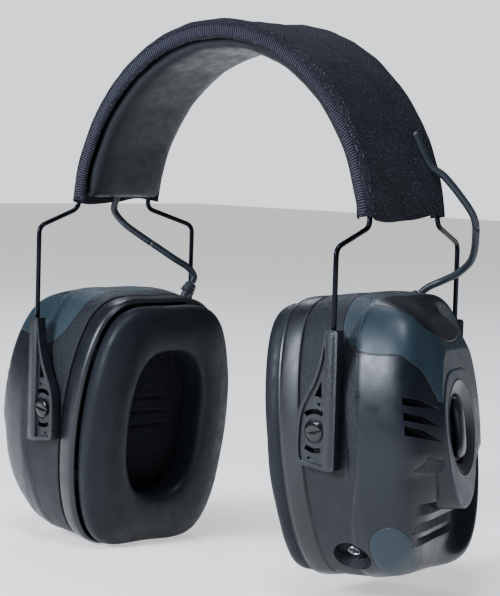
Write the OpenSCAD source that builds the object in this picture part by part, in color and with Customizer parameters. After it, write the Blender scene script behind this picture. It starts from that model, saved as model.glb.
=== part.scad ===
// Electronic earmuff hearing protector with a wire headband.
// +X points to the wearer's right cup, -Y to the front, +Z up.
// The origin is the middle of the footprint, at the lowest point of the cups.
// Inside a cup, x runs outward from the ear, y to the rear and z up, from the pivot.

/* [Headband] */
// Radius of the arch, at the centre of the two spring wires
arch_r = 88; // [84:1:92]
// Height of the arch centre
arch_z = 148; // [146:1:152]
// Angle above the horizontal at which the wires leave the sleeve
exit_angle = 4; // [3:1:8]
// Diameter of a spring wire
wire_d = 2.2; // [1.8:0.1:2.4]
// Half distance between the wires inside the sleeve
wire_y = 22; // [20:1:23]
// Height of the bends where the wires turn down into the legs
bend_z = 146; // [142:1:148]
// Width of the fabric sleeve
sleeve_w = 49; // [48:1:56]
// Thickness of the sleeve fabric
sleeve_t = 1.2; // [0.8:0.1:1.6]
// Thickness of the head pad at its middle
pad_t = 9; // [6:0.5:10]

/* [Cups] */
// Distance of a cup's pivot from the middle plane
pivot_x = 78; // [76:1:82]
// Height of the left pivot
left_pivot_z = 63.5; // [62:0.5:66]
// Height of the right pivot
right_pivot_z = 72.5; // [68:0.5:76]
// Lean of a cup, with its lower end outward
cup_tilt = 8; // [4:1:11]
// Turn of a cup's outer face towards the rear
cup_yaw = 5.5; // [2:0.5:8]
// Further turn of the oval control face on the right cup towards the rear
face_turn = 17; // [10:1:18]
// Wall thickness of the shell
shell_wall = 2.4; // [2:0.1:3]
// Thickness of the ear cushion
cushion_t = 13.5; // [10:0.5:16]
// Height of the ear opening
ear_h = 67; // [60:1:70]
// Width of the ear opening
ear_w = 40; // [34:1:44]

/* [Arms] */
// Reach of an arm above its pivot
arm_up = 41; // [38:1:44]
// Reach of an arm below its pivot
arm_down = 15.5; // [14:0.5:18]
// Outward offset of the wire channel from the pivot
leg_x = 7; // [6.5:0.5:7.5]
// Length of wire inside the left arms
left_grip = 20; // [16:1:22]
// Length of wire inside the right arms
right_grip = 33; // [30:1:36]

/* [Controls] */
// Diameter of the volume knob
knob_d = 26; // [22:1:28]
// Diameter of the dish round the knob
dish_d = 40; // [36:1:42]
// Bore of the audio input socket
jack_bore_d = 3.6; // [3.5:0.05:3.7]
// Outer diameter of the audio input socket
jack_d = 6; // [5.5:0.1:6.4]
// Diameter of the signal cable
cable_d = 3.2; // [2.8:0.1:3.4]

/* [Hidden] */
$fn = 48;

left = -1;
right = 1;
front = -1;
rear = 1;
wire_r = wire_d / 2;

// cup layers along x
seam_x = -9.5;
ring_x = -21;
cushion_gap = 0.4;
ring_in = 1.4;
cushion_in = 2.8;
ring_wall = 6.5;
baffle_x = -11.9;
baffle_t = 2.4;
liner_t = 6;

// arms
arm_y = 42.6;
web_t = 2.6;
arm_t = 4.8;
leg_y = arm_y + arm_t / 2;
channel_r = wire_r + 0.1;
pin_r = 2;
pin_gap = 0.06;
head_r = 4.2;

// flat in the shell's side that the arm swings over
recess_y = 42.1;
recess_l = 25;

// outside of the controls
knob_r = knob_d / 2;
shaft_r = 3;
// the control face: its middle in the cup, and depths below its surface
face_at = [41.4, -3, -4];
face_shift = 4.2;
plate_t = 9;
pocket_t = 4;
knob_back = -3.4;
knob_t = 4;
board_x = -21.8;
board_t = 1.6;
pot_x = board_x + board_t;
pot_t = 7;
screw_spots = [[27, 30], [-27, 30], [22, -42], [-22, -42]];
post_r = 3.4;
screw_r = 1.3;

// battery bay
bay_w = 25;
bay_h = 50;
cell_r = 5.2;
cell_l = 44;
tray_x = -15;
door_w = 32;
door_h = 56;
door_round = 8;
door_back = 0.3;
door_t = 2.6;
hinge_z = -door_h / 2 - 1.5;
hinge_r = 1;
hinge_x = 2.5;

// audio socket on the lower front edge of the right cup
jack_at = [5, -31.5, -48.5];
jack_down = 48;
jack_l = 14;

// cable boots on the rear of the cups' tops, and the way they lean
left_boot_at = [-3, 27, 50];
left_boot_turn = [-30, 0, 0];
right_boot_at = [-3, 31, 47];
right_boot_turn = [-45, 35, 0];
boot_h = 8;
boot_foot = 3.2;
boot_root_r = 2.1;

// Cable routes, in order from the headband to the boots
left_route = [[-86, 0, 158.5], [-87, 0, 153], [-83, 3, 147], [-78, 10, 141],
  [-73, 16, 136], [-68, 22, 131], [-65, 28, 127], [-64, 31, 123], [-64, 30, 120]];
right_route = [[80, 14, 193], [86, 17, 180], [91, 21, 175], [96, 26, 167], [99, 32, 158],
  [98, 35, 149], [94, 38, 140], [86, 40, 134], [77, 41, 130], [71, 39, 127], [68, 37, 124]];

// Outline of the cup, seen from outside: a closed B-spline through a control cage
cage = [[0, 53], [34.5, 58.5], [47.6, -2.5], [36.5, -68], [0, -59.5],
  [-36.5, -68], [-47.6, -2.5], [-34.5, 58.5]];
function blend3(a, b, c, d, t) =
  ((1 - t) ^ 3 * a + (3 * t ^ 3 - 6 * t ^ 2 + 4) * b
    + (-3 * t ^ 3 + 3 * t ^ 2 + 3 * t + 1) * c + t ^ 3 * d) / 6;
function closed_curve(p, steps) = [
  for (i = [0 : len(p) - 1], k = [0 : steps - 1])
    blend3(p[i], p[(i + 1) % len(p)], p[(i + 2) % len(p)], p[(i + 3) % len(p)], k / steps)];
function unit(v) = v / norm(v);
function inset(p, d) = [
  for (i = [0 : len(p) - 1])
    let (n = len(p), t = unit(p[(i + 1) % n] - p[(i + n - 1) % n]))
      p[i] + d * [t[1], -t[0]]];
cup_curve = closed_curve(cage, 5);
function cup_outline(d) = inset(cup_curve, d);

// Open curve through every point of a route
function pass(a, b, c, d, t) =
  0.5 * (2 * b + (c - a) * t + (2 * a - 5 * b + 4 * c - d) * t ^ 2
    + (3 * b - a - 3 * c + d) * t ^ 3);
function smooth(p, steps) = concat([
  for (i = [0 : len(p) - 2], k = [0 : steps - 1])
    pass(p[max(i - 1, 0)], p[i], p[i + 1], p[min(i + 2, len(p) - 1)], k / steps)],
  [p[len(p) - 1]]);

// Round tube along a list of points
module tube(path, r, sides) {
  n = len(path);
  along = [for (i = [0 : n - 1]) unit(path[min(i + 1, n - 1)] - path[max(i - 1, 0)])];
  rings = [for (i = [0 : n - 1])
    let (u = unit(cross(along[i], [0.3, 1, 0])), v = cross(along[i], u))
      for (k = [0 : sides - 1])
        path[i] + r * (cos(360 * k / sides) * u + sin(360 * k / sides) * v)];
  walls = [for (i = [0 : n - 2], k = [0 : sides - 1])
    let (a = i * sides + k, b = i * sides + (k + 1) % sides)
      [a, b, b + sides, a + sides]];
  caps = [[for (k = [sides - 1 : -1 : 0]) k], [for (k = [0 : sides - 1]) (n - 1) * sides + k]];
  polyhedron(points = rings, faces = concat(walls, caps), convexity = 6);
}

// Place children in a side's frame; the left side is the mirror of the right
function pivot_z(side) = side < 0 ? left_pivot_z : right_pivot_z;
module on_side(side) {
  if (side < 0) mirror([1, 0, 0]) children();
  else children();
}
module in_arm(side) {
  on_side(side) translate([pivot_x, 0, pivot_z(side)]) rotate([0, 0, cup_yaw]) children();
}
module in_cup(side) {
  in_arm(side) rotate([0, -cup_tilt, 0]) children();
}
module on_face() {
  translate(face_at) rotate([0, 0, face_turn]) children();
}
module outward(x, h) {
  translate([x, 0, 0]) rotate([90, 0, 90]) linear_extrude(h) children();
}
module slice(x, d) {
  outward(x, 0.2) polygon(cup_outline(d));
}
module rod(x, y, z, r, h) {
  translate([x, y, z]) rotate([0, 90, 0]) cylinder(h = h, r = r);
}
module arch_span(low, high) {
  translate([0, 0, arch_z]) rotate([90, 0, 0]) rotate([0, 0, low])
    rotate_extrude(angle = high - low, $fn = 96) children();
}
module arch_bar(angle) {
  arch_span(angle, 180 - angle) children();
}
module link(a, b, r) {
  d = b - a;
  translate(a) rotate([0, acos(d[2] / norm(d)), atan2(d[1], d[0])]) cylinder(h = norm(d), r = r);
}

// The wires: a leg, a bend, a slanted run into the sleeve and the arch, both sides
function leg_point(side, way) =
  let (x = leg_x * cos(cup_yaw) - way * leg_y * sin(cup_yaw),
    y = leg_x * sin(cup_yaw) + way * leg_y * cos(cup_yaw))
  [side * (pivot_x + x), y];
function leg_end(side) =
  pivot_z(side) + arm_up - (side < 0 ? left_grip : right_grip);
module half_wire(side, way) {
  foot = leg_point(side, way);
  bend = [foot[0], foot[1], bend_z];
  exit = [side * arch_r * cos(exit_angle), way * wire_y, arch_z + arch_r * sin(exit_angle)];
  translate([foot[0], foot[1], leg_end(side)]) cylinder(h = bend_z - leg_end(side), r = wire_r);
  translate(bend) sphere(r = wire_r + 0.05);
  link(bend, exit, wire_r);
  translate(exit) sphere(r = wire_r + 0.05);
}
module headband_wire(way) {
  color("#6d7076") {
    half_wire(left, way);
    half_wire(right, way);
    translate([0, way * wire_y, 0]) arch_bar(exit_angle)
      translate([arch_r, 0]) circle(r = wire_r, $fn = 24);
  }
}

sleeve_out = arch_r + 3.4;
sleeve_low = arch_r - 5;
pad_out = arch_r - 1.6;
// The sleeve wraps over the wires and folds down past both edges of the pad
module headband_sleeve() {
  half = sleeve_w / 2;
  side_t = 1.2;
  color("#2b2e36") arch_bar(exit_angle + 1.5) {
    translate([sleeve_out - sleeve_t, -half]) square([sleeve_t, sleeve_w]);
    for (y = [-half, half - side_t])
      translate([sleeve_low, y]) square([sleeve_out - sleeve_low, side_t]);
  }
}
module headband_core() {
  color("#17181b") arch_bar(exit_angle + 4)
    translate([pad_out, -18]) square([1.2, 36]);
}
module headband_pad() {
  edge = 21.8;
  color("#26282f") arch_bar(exit_angle + 4)
    polygon([[pad_out, -edge], [pad_out, edge], [pad_out - 4, edge], [pad_out - pad_t + 1, 16],
      [pad_out - pad_t, 10], [pad_out - pad_t, -10], [pad_out - pad_t + 1, -16],
      [pad_out - 4, -edge]]);
}
// Plastic saddles that hold both wires at the sleeve's ends
module wire_keepers() {
  color("#17181b") for (side = [left, right])
    on_side(side) translate([0, 0, arch_z]) rotate([0, -12, 0])
      translate([arch_r, 0, 0]) difference() {
        translate([-0.3, -23, -3]) cube([2.2, 46, 6]);
        for (way = [front, rear])
          translate([0, way * wire_y, -4]) cylinder(h = 8, r = wire_r + 0.1);
        translate([0.9, 0, -4]) cylinder(h = 8, r = cable_d / 2 - 0.1);
      }
}

module cable_band() {
  color("#454d58") arch_span(31, 172)
    translate([arch_r + 0.9, 0]) circle(r = cable_d / 2 - 0.4, $fn = 16);
}
module cable(route) {
  color("#454d58") tube(smooth(route, 2), cable_d / 2, 8);
}

// Arm plate: a web with a raised rim, a straight wire channel and a slotted pivot eye
arm_shape = [[10.4, arm_up], [4.2, arm_up], [2.8, 34], [1.2, 27], [-1.4, 20], [-4.6, 14.5],
  [-7.4, 10], [-8.6, 5], [-8.6, -11], [-7, 1 - arm_down], [10.4, -arm_down]];
arm_inner = [[4.6, 33], [2.6, 26.5], [0, 19.4], [-3.4, 13.6], [-6, 9.4], [-7.1, 4.7],
  [-7.1, -10.5], [-6, 2.6 - arm_down], [4.6, 1.6 - arm_down]];
module arm_profile(y, h) {
  translate([0, y + h, 0]) rotate([90, 0, 0]) linear_extrude(h) children();
}
module arm_plate() {
  difference() {
    arm_profile(arm_y, arm_t) polygon(arm_shape);
    arm_profile(arm_y + web_t, arm_t) polygon(arm_inner);
    arm_profile(arm_y - 1, arm_t + 2) polygon([[2.4, 20], [2.6, 13.4], [-0.8, 14]]);
    arm_profile(arm_y - 1, arm_t + 2) polygon([[1.8, 8], [-3.2, 8], [-4.4, 6.2], [1.8, 6.2]]);
    arm_profile(arm_y - 1, arm_t + 2) polygon([[1.8, -6.4], [-4.6, -6.4], [-3.6, -9], [1.8, -9]]);
    translate([0, arm_y - 1, 0]) rotate([-90, 0, 0]) cylinder(h = arm_t + 2, r = pin_r + pin_gap);
    translate([leg_x, leg_y, 1.6 - arm_down]) cylinder(h = arm_up + arm_down, r = channel_r);
  }
}
module arm(way) {
  color("#20242a") {
    if (way < 0) mirror([0, 1, 0]) arm_plate();
    else arm_plate();
  }
}
// Pin: a shank pressed into the cup's boss and a slotted head in the arm's eye
module pivot_pin(way) {
  color("#101214") rotate([-90 * way, 0, 0]) {
    difference() {
      translate([0, 0, arm_y + web_t + 0.15]) cylinder(h = arm_t - web_t, r = head_r);
      translate([-head_r - 1, -0.5, arm_y + web_t + 1.2]) cube([2 * head_r + 2, 1, arm_t]);
    }
    translate([0, 0, 33]) cylinder(h = arm_y + web_t - 32.5, r = pin_r);
  }
}

// Outer form of the shell and the hollow inside it
module face_oval(d) {
  hull() {
    circle(r = 22.5 - d);
    for (y = [-6, 6]) translate([y, 16]) circle(r = 14 - d);
    for (y = [-7, 2]) translate([y, -21]) circle(r = 10 - d);
  }
}
module turned_slice(x, d, k, up) {
  on_face() outward(x, 0.2) translate([face_shift, up - face_at[2]])
    scale([1, k]) polygon(cup_outline(d));
}
module shell_form(d) {
  hull() {
    slice(seam_x, ring_in + d);
    slice(12, d);
    slice(20, 0.2 + d);
    turned_slice(-13 - d, 5 + d * 0.6, 0.91, 4.5);
    turned_slice(-5 - d, 11.5 + d * 0.4, 0.7, 11.5);
    turned_slice(-0.2 - d, 16, 0.54, 9);
    on_face() outward(-1 - d, 1) face_oval(0);
  }
}
module shell_posts() {
  for (at = screw_spots) {
    rod(seam_x, at[0], at[1], post_r, 22);
    translate([seam_x, at[0] < 0 ? at[0] - 20 : at[0], at[1] - 1]) cube([20, 20, 2]);
  }
  for (way = [front, rear])
    translate([0, way < 0 ? -41 : 33, 0]) rotate([-90, 0, 0]) cylinder(h = 8, r = 4);
}
module cup_shell(side) {
  color("#3a4a54") difference() {
    union() {
      difference() {
        shell_form(0);
        translate([-0.3, 0, 0]) shell_form(shell_wall);
      }
      if (side > 0) intersection() {
        shell_form(0);
        on_face() outward(-plate_t, plate_t) circle(r = dish_d / 2 + 1.5);
      }
      intersection() {
        shell_form(0.8);
        shell_posts();
      }
    }
    for (way = [front, rear]) {
      translate([0, way * 37, 0]) rotate([90, 0, 0]) cylinder(h = 12, r = pin_r, center = true);
      translate([seam_x + recess_l / 2 - 1, way * (recess_y + 5), 0])
        cube([recess_l, 10, 60], center = true);
    }
    for (at = screw_spots) rod(seam_x - 4, at[0], at[1], screw_r, 16);
    if (side > 0) {
      on_face() {
        rod(-pocket_t, 0, 0, dish_d / 2 + 0.06, 20);
        rod(-20, 0, 0, shaft_r + 0.4, 30);
      }
      translate(jack_at) rotate([90 + jack_down, 0, 0])
        cylinder(h = 30, r = jack_d / 2 + 0.1, center = true);
    } else {
      on_face() translate([-12, -bay_w / 2, -bay_h / 2]) cube([20, bay_w, bay_h]);
    }
    boot_place(side) translate([0, 0, -10]) cylinder(h = 30, r = boot_root_r + 0.1);
  }
}
module seal_ring() {
  color("#1c2027") outward(ring_x, seam_x - ring_x) difference() {
    polygon(cup_outline(ring_in));
    polygon(cup_outline(ring_in + ring_wall));
  }
}
module baffle() {
  color("#15171a") difference() {
    outward(baffle_x, baffle_t) polygon(cup_outline(ring_in + ring_wall + 0.2));
    for (at = screw_spots) rod(baffle_x - 1, at[0], at[1], screw_r + 0.2, 4);
    for (y = [-12, -6, 0, 6, 12])
      translate([baffle_x - 1, y - 1.5, -12]) cube([baffle_t + 2, 3, 24]);
  }
}
module ear_cushion() {
  x0 = ring_x - cushion_gap - cushion_t;
  color("#232830") difference() {
    hull() {
      slice(x0, cushion_in + 4);
      slice(x0 + 3, cushion_in + 0.8);
      slice(x0 + 7, cushion_in);
      slice(ring_x - cushion_gap - 0.2, cushion_in);
    }
    outward(x0 - 1, cushion_t + 2) ear_opening(0);
  }
}
module ear_opening(d) {
  r = ear_w / 2 - d;
  run = (ear_h - ear_w) / 2;
  translate([0, -2]) {
    square([2 * r, 2 * run], center = true);
    for (z = [-run, run]) translate([0, z]) circle(r = r);
  }
}
module foam_liner() {
  color("#16181c") difference() {
    outward(baffle_x - liner_t, liner_t) polygon(cup_outline(ring_in + ring_wall + 0.6));
    for (at = screw_spots) rod(baffle_x - 2, at[0], at[1], 2.8, 3);
  }
}
module speaker() {
  color("#2c2f33") {
    rod(baffle_x + baffle_t, 0, 0, 20, 3);
    rod(baffle_x + baffle_t + 3, 0, 0, 11, 6);
  }
}
module microphone() {
  color("#b9bcc0") translate([30, -35.5, 6]) rotate([-90, 0, 0]) cylinder(h = 5, r = 3);
}
module circuit_board(x, w, low, high) {
  color("#1f5a3a") difference() {
    translate([x, -w / 2, low]) cube([board_t, w, high - low]);
    for (y = [4 - w / 2, w / 2 - 4]) rod(x - 1, y, high - 4, 1.2, 4);
  }
}
module boot_place(side) {
  translate(side < 0 ? left_boot_at : right_boot_at)
    rotate(side < 0 ? left_boot_turn : right_boot_turn) children();
}
// Boot of a cable: a plug in the shell's hole and a taper that grips the cable
module strain_relief(side) {
  color("#3a424c") boot_place(side) difference() {
    union() {
      translate([0, 0, boot_foot]) cylinder(h = boot_h - boot_foot, r1 = 3.4, r2 = 2.5);
      translate([0, 0, -2]) cylinder(h = boot_foot + 2, r = boot_root_r);
    }
    translate([0, 0, -3]) cylinder(h = boot_h + 4, r = cable_d / 2);
  }
}
module baffle_screws() {
  color("#8b8f94") for (at = screw_spots) {
    rod(baffle_x - 1.6, at[0], at[1], 2.6, 1.6);
    rod(baffle_x - 0.5, at[0], at[1], screw_r, 9);
  }
}

// Volume control of the right cup
module knob_dish() {
  color("#24292e") difference() {
    rod(-pocket_t, 0, 0, dish_d / 2, pocket_t + 0.4);
    rod(-pocket_t - 1, 0, 0, knob_r + 1.2, pocket_t + 4);
  }
}
module volume_knob() {
  color("#1b1d20") difference() {
    union() {
      rod(knob_back, 0, 0, knob_r, knob_t - 2);
      translate([knob_back, -2, 1 - knob_r]) cube([knob_t, 4, knob_d - 2]);
    }
    rod(knob_back - 1, 0, 0, shaft_r - 0.2, knob_t - 1.5);
  }
}
module volume_shaft() {
  color("#a9adb2") rod(pot_x + 2, 0, 0, shaft_r - 0.2, knob_back + knob_t - 3 - pot_x - 2);
}
module potentiometer() {
  color("#6b7075") difference() {
    union() {
      rod(pot_x, 0, 0, 8.5, pot_t);
      rod(pot_x + pot_t, 0, 0, 3.9, 4);
    }
    rod(pot_x + 1.5, 0, 0, shaft_r - 0.14, pot_t + 6);
  }
}
module aux_jack() {
  color("#b8bbbf") translate(jack_at) rotate([90 + jack_down, 0, 0]) difference() {
    translate([0, 0, 2 - jack_l]) cylinder(h = jack_l, r = jack_d / 2);
    translate([0, 0, 3 - jack_l]) cylinder(h = jack_l, r = jack_bore_d / 2);
  }
}

// Battery bay of the left cup
module battery_tray() {
  color("#15171a") difference() {
    translate([tray_x, 0.2 - bay_w / 2, 0.2 - bay_h / 2])
      cube([-tray_x - 0.6, bay_w - 0.4, bay_h - 0.4]);
    translate([tray_x + 1.2, 1.4 - bay_w / 2, 1.4 - bay_h / 2])
      cube([20, bay_w - 2.8, bay_h - 2.8]);
  }
}
module batteries() {
  color("#7a8087") for (way = [front, rear])
    translate([tray_x + 1.5 + cell_r, way * (cell_r + 0.3), -cell_l / 2]) {
      cylinder(h = cell_l - 0.8, r = cell_r);
      cylinder(h = cell_l, r = 1.9);
    }
}
module battery_contacts() {
  color("#c8b26a") for (end = [front, rear])
    translate([tray_x + 1.5, -9, end * (cell_l / 2 + 0.65) - 0.25]) cube([10, 18, 0.5]);
}
module battery_door() {
  color("#3a4a54") difference() {
    union() {
      outward(door_back, door_t) {
        square([door_w, door_h - 2 * door_round], center = true);
        square([door_w - 2 * door_round, door_h], center = true);
        for (y = [-1, 1], z = [-1, 1])
          translate([y * (door_w / 2 - door_round), z * (door_h / 2 - door_round)])
            circle(r = door_round);
      }
      translate([hinge_x, -5, hinge_z]) rotate([-90, 0, 0]) cylinder(h = 10, r = 1.9);
      translate([door_back + 0.3, -5, hinge_z]) cube([door_t - 0.3, 10, 3]);
    }
    translate([hinge_x, -6, hinge_z]) rotate([-90, 0, 0]) cylinder(h = 12, r = hinge_r + pin_gap);
  }
}
module battery_door_pin() {
  color("#a9adb2") {
    translate([hinge_x, -7.4, hinge_z]) rotate([-90, 0, 0]) cylinder(h = 14.8, r = hinge_r);
    for (y = [-7.4, 5.4]) translate([0, y, hinge_z - 1.5]) cube([2.8, 2, 2.5]);
  }
}

headband_wire(front);  // headband_front_wire
headband_wire(rear);  // headband_rear_wire
headband_sleeve();
headband_core();
headband_pad();
wire_keepers();
cable_band();
cable(left_route);  // left_cable
cable(right_route);  // right_cable
in_arm(left) arm(front);  // left_front_arm
in_arm(left) arm(rear);  // left_rear_arm
in_arm(right) arm(front);  // right_front_arm
in_arm(right) arm(rear);  // right_rear_arm
in_cup(left) cup_shell(left);  // left_cup_shell
in_cup(left) seal_ring();  // left_seal_ring
in_cup(left) baffle();  // left_baffle
in_cup(left) ear_cushion();  // left_ear_cushion
in_cup(left) foam_liner();  // left_foam_liner
in_cup(left) speaker();  // left_speaker
in_cup(left) microphone();  // left_microphone
in_cup(left) circuit_board(8, 20, 27, 44);  // left_circuit_board
in_cup(left) strain_relief(left);  // left_strain_relief
in_cup(left) pivot_pin(front);  // left_front_pin
in_cup(left) pivot_pin(rear);  // left_rear_pin
in_cup(left) baffle_screws();  // left_baffle_screws
in_cup(left) on_face() battery_tray();
in_cup(left) on_face() batteries();
in_cup(left) on_face() battery_contacts();
in_cup(left) on_face() battery_door();
in_cup(left) on_face() battery_door_pin();
in_cup(right) cup_shell(right);  // right_cup_shell
in_cup(right) seal_ring();  // right_seal_ring
in_cup(right) baffle();  // right_baffle
in_cup(right) ear_cushion();  // right_ear_cushion
in_cup(right) foam_liner();  // right_foam_liner
in_cup(right) speaker();  // right_speaker
in_cup(right) microphone();  // right_microphone
in_cup(right) on_face() circuit_board(board_x, 40, -22, 34);  // right_circuit_board
in_cup(right) strain_relief(right);  // right_strain_relief
in_cup(right) pivot_pin(front);  // right_front_pin
in_cup(right) pivot_pin(rear);  // right_rear_pin
in_cup(right) baffle_screws();  // right_baffle_screws
in_cup(right) on_face() knob_dish();
in_cup(right) on_face() volume_knob();
in_cup(right) on_face() volume_shaft();
in_cup(right) on_face() potentiometer();
in_cup(right) aux_jack();
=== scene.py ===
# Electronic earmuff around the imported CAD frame.
# Inside a cup: a runs outward from the pivot, b to the rear, c up, in millimetres.
import math

import bmesh
import bpy
from mathutils.bvhtree import BVHTree
from mathutils import Matrix, Vector, noise


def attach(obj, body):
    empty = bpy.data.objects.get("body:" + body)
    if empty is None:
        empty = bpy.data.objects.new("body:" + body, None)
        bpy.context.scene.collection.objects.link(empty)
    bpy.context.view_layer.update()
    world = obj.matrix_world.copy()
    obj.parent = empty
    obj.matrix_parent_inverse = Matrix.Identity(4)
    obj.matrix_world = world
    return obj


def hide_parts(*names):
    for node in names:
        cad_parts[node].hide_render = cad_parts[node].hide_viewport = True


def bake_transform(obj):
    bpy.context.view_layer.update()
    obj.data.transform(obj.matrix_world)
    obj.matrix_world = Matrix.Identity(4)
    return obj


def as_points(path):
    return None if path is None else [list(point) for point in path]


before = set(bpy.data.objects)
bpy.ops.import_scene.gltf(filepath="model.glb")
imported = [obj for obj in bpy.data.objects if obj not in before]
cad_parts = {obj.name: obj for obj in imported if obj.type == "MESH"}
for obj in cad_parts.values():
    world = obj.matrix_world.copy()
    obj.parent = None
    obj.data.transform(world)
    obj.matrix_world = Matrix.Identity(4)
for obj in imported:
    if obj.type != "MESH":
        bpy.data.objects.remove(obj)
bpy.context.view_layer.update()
MM = 0.001
LEFT, RIGHT = -1, 1
FRONT, REAR = -1, 1
SIDE_NAME = {LEFT: "left", RIGHT: "right"}
WAY_NAME = {FRONT: "front", REAR: "rear"}

# sizes from the part's source, in millimetres; its angles are turned into radians
PIVOT_X = 78.0
PIVOT_Z = {LEFT: 63.5, RIGHT: 72.5}
TILT, YAW, FACE_TURN = math.radians(8), math.radians(5.5), math.radians(17)
ARCH_R, ARCH_Z, EXIT_ANGLE = 88.0, 148.0, 4.0  # the exit angle stays in degrees
WIRE_Y, WIRE_R, BEND_Z = 22.0, 1.1, 146.0
LEG_X, LEG_Y = 7.0, 45.0
GRIP = {LEFT: 20.0, RIGHT: 33.0}
ARM_UP = 41.0
FACE_AT = Vector((41.4, -3, -4))
CABLE_D = 3.2
LEFT_BOOT, RIGHT_BOOT = Vector((-3, 27, 50)), Vector((-3, 31, 47))


def smoothstep(low, high, x):
    t = min(1.0, max(0.0, (x - low) / (high - low)))
    return t * t * (3 - 2 * t)


def in_arm(side, p):
    """A point of the arms' frame (turned, not tilted) in the part's frame, in metres."""
    x, y, z = p
    px = x * math.cos(YAW) - y * math.sin(YAW)
    py = x * math.sin(YAW) + y * math.cos(YAW)
    return Vector((side * (PIVOT_X + px), py, PIVOT_Z[side] + z)) * MM


def in_cup(side, p):
    """A point of the cup's frame in the part's frame, in metres."""
    a, b, c = p
    x = a * math.cos(TILT) - c * math.sin(TILT)
    z = a * math.sin(TILT) + c * math.cos(TILT)
    return in_arm(side, (x, b, z))


def on_face(p):
    """A point of the control face's own frame in its cup's frame."""
    x, y, z = p
    s, k = math.sin(FACE_TURN), math.cos(FACE_TURN)
    return FACE_AT + Vector((x * k - y * s, x * s + y * k, z))


def to_face(p):
    """A point of the cup's frame in the control face's frame."""
    s, k = math.sin(FACE_TURN), math.cos(FACE_TURN)
    q = Vector(p) - FACE_AT
    return Vector((q.x * k + q.y * s, -q.x * s + q.y * k, q.z))


def cup_place(side):
    return lambda p: in_cup(side, p)


def face_place(p):
    return in_cup(RIGHT, on_face(p))


def add_object(name, data):
    obj = bpy.data.objects.new(name, data)
    bpy.context.collection.objects.link(obj)
    return obj


def from_angles(azimuth, elevation):
    """Unit vector toward a compass angle and height, in radians; azimuth 0 is the front."""
    return Vector((math.sin(azimuth) * math.cos(elevation),
                   -math.cos(azimuth) * math.cos(elevation), math.sin(elevation)))


# ---------------------------------------------------------------- camera
CAM_AZ, CAM_EL, CAM_ROLL = math.radians(43.16), math.radians(4.26), -0.0304
CAM_DISTANCE, CAM_LENS = 0.8881, 121.3
CAM_TARGET = Vector((0.0004, 0.0017, 0.1182))
SENSOR = 36


def make_camera():
    back = from_angles(CAM_AZ, CAM_EL)
    level = Vector((math.cos(CAM_AZ), math.sin(CAM_AZ), 0))
    up = back.cross(level)
    x = math.cos(CAM_ROLL) * level - math.sin(CAM_ROLL) * up
    y = back.cross(x)
    data = bpy.data.cameras.new("view")
    data.lens = CAM_LENS
    data.sensor_width = SENSOR
    cam = add_object("view", data)
    turn = Matrix((x, y, back)).transposed().to_4x4()
    cam.matrix_world = Matrix.Translation(CAM_TARGET + back * CAM_DISTANCE) @ turn
    bpy.context.scene.camera = cam


make_camera()


# ---------------------------------------------------------------- mesh helpers
def edit_mesh(mesh, change):
    """Pass the mesh through change as a bmesh."""
    bm = bmesh.new()
    bm.from_mesh(mesh)
    change(bm)
    bm.to_mesh(mesh)
    bm.free()


def new_object(name, verts, faces, smooth=True, flats=None):
    """flats gives each point's place on the flat fabric, for a woven finish."""
    mesh = bpy.data.meshes.new(name)
    mesh.from_pydata([tuple(v) for v in verts], [], faces)
    edit_mesh(mesh, lambda bm: bmesh.ops.recalc_face_normals(bm, faces=bm.faces))
    mesh.polygons.foreach_set("use_smooth", [smooth] * len(mesh.polygons))
    if flats is not None:
        layer = mesh.attributes.new("flat", "FLOAT_VECTOR", "POINT")
        layer.data.foreach_set("vector", [q for v in flats for q in v])
    return add_object(name, mesh)


def add_values(obj, name, values):
    layer = obj.data.attributes.new(name, "FLOAT", "POINT")
    layer.data.foreach_set("value", values)


def loft(rings, closed=True, caps=True):
    """Quads through equal rings of points; returns vertices and faces."""
    n = len(rings[0])
    verts = [p for ring in rings for p in ring]
    faces = []
    last = n if closed else n - 1
    for i in range(len(rings) - 1):
        for k in range(last):
            a, b = i * n + k, i * n + (k + 1) % n
            faces.append((a, b, b + n, a + n))
    if caps and closed:
        for first, order in ((0, -1), ((len(rings) - 1) * n, 1)):
            middle = sum((Vector(p) for p in verts[first:first + n]), Vector()) / n
            verts.append(middle)
            centre = len(verts) - 1
            for k in range(n):
                tri = (first + k, first + (k + 1) % n, centre)
                faces.append(tri if order > 0 else tri[::-1])
    return verts, faces


def lofted(name, rings, caps=True):
    return new_object(name, *loft(rings, caps=caps))


def catmull(points, steps, closed=False):
    pts = [Vector(p) for p in points]
    n = len(pts)
    out = []
    for i in range(n if closed else n - 1):
        if closed:
            a, b, c, d = (pts[(i + k) % n] for k in (-1, 0, 1, 2))
        else:
            a, b = pts[max(i - 1, 0)], pts[i]
            c, d = pts[i + 1], pts[min(i + 2, n - 1)]
        for k in range(steps):
            t = k / steps
            out.append(0.5 * (2 * b + (c - a) * t + (2 * a - 5 * b + 4 * c - d) * t ** 2
                              + (3 * b - a - 3 * c + d) * t ** 3))
    if not closed:
        out.append(pts[-1])
    return out


def tube_rings(path, radius, sides, start_up=Vector((0.3, 1, 0))):
    """Rings of a round tube along path, without twist. radius is a number or one per point."""
    pts = [Vector(p) for p in path]
    n = len(pts)
    side = None
    rings = []
    for i in range(n):
        way = (pts[min(i + 1, n - 1)] - pts[max(i - 1, 0)]).normalized()
        if side is None:
            side = way.cross(start_up).normalized()
        side = (side - way * side.dot(way)).normalized()
        other = way.cross(side)
        r = radius[i] if isinstance(radius, (list, tuple)) else radius
        rings.append([pts[i] + r * (math.cos(2 * math.pi * k / sides) * side
                                    + math.sin(2 * math.pi * k / sides) * other)
                      for k in range(sides)])
    return rings


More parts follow.
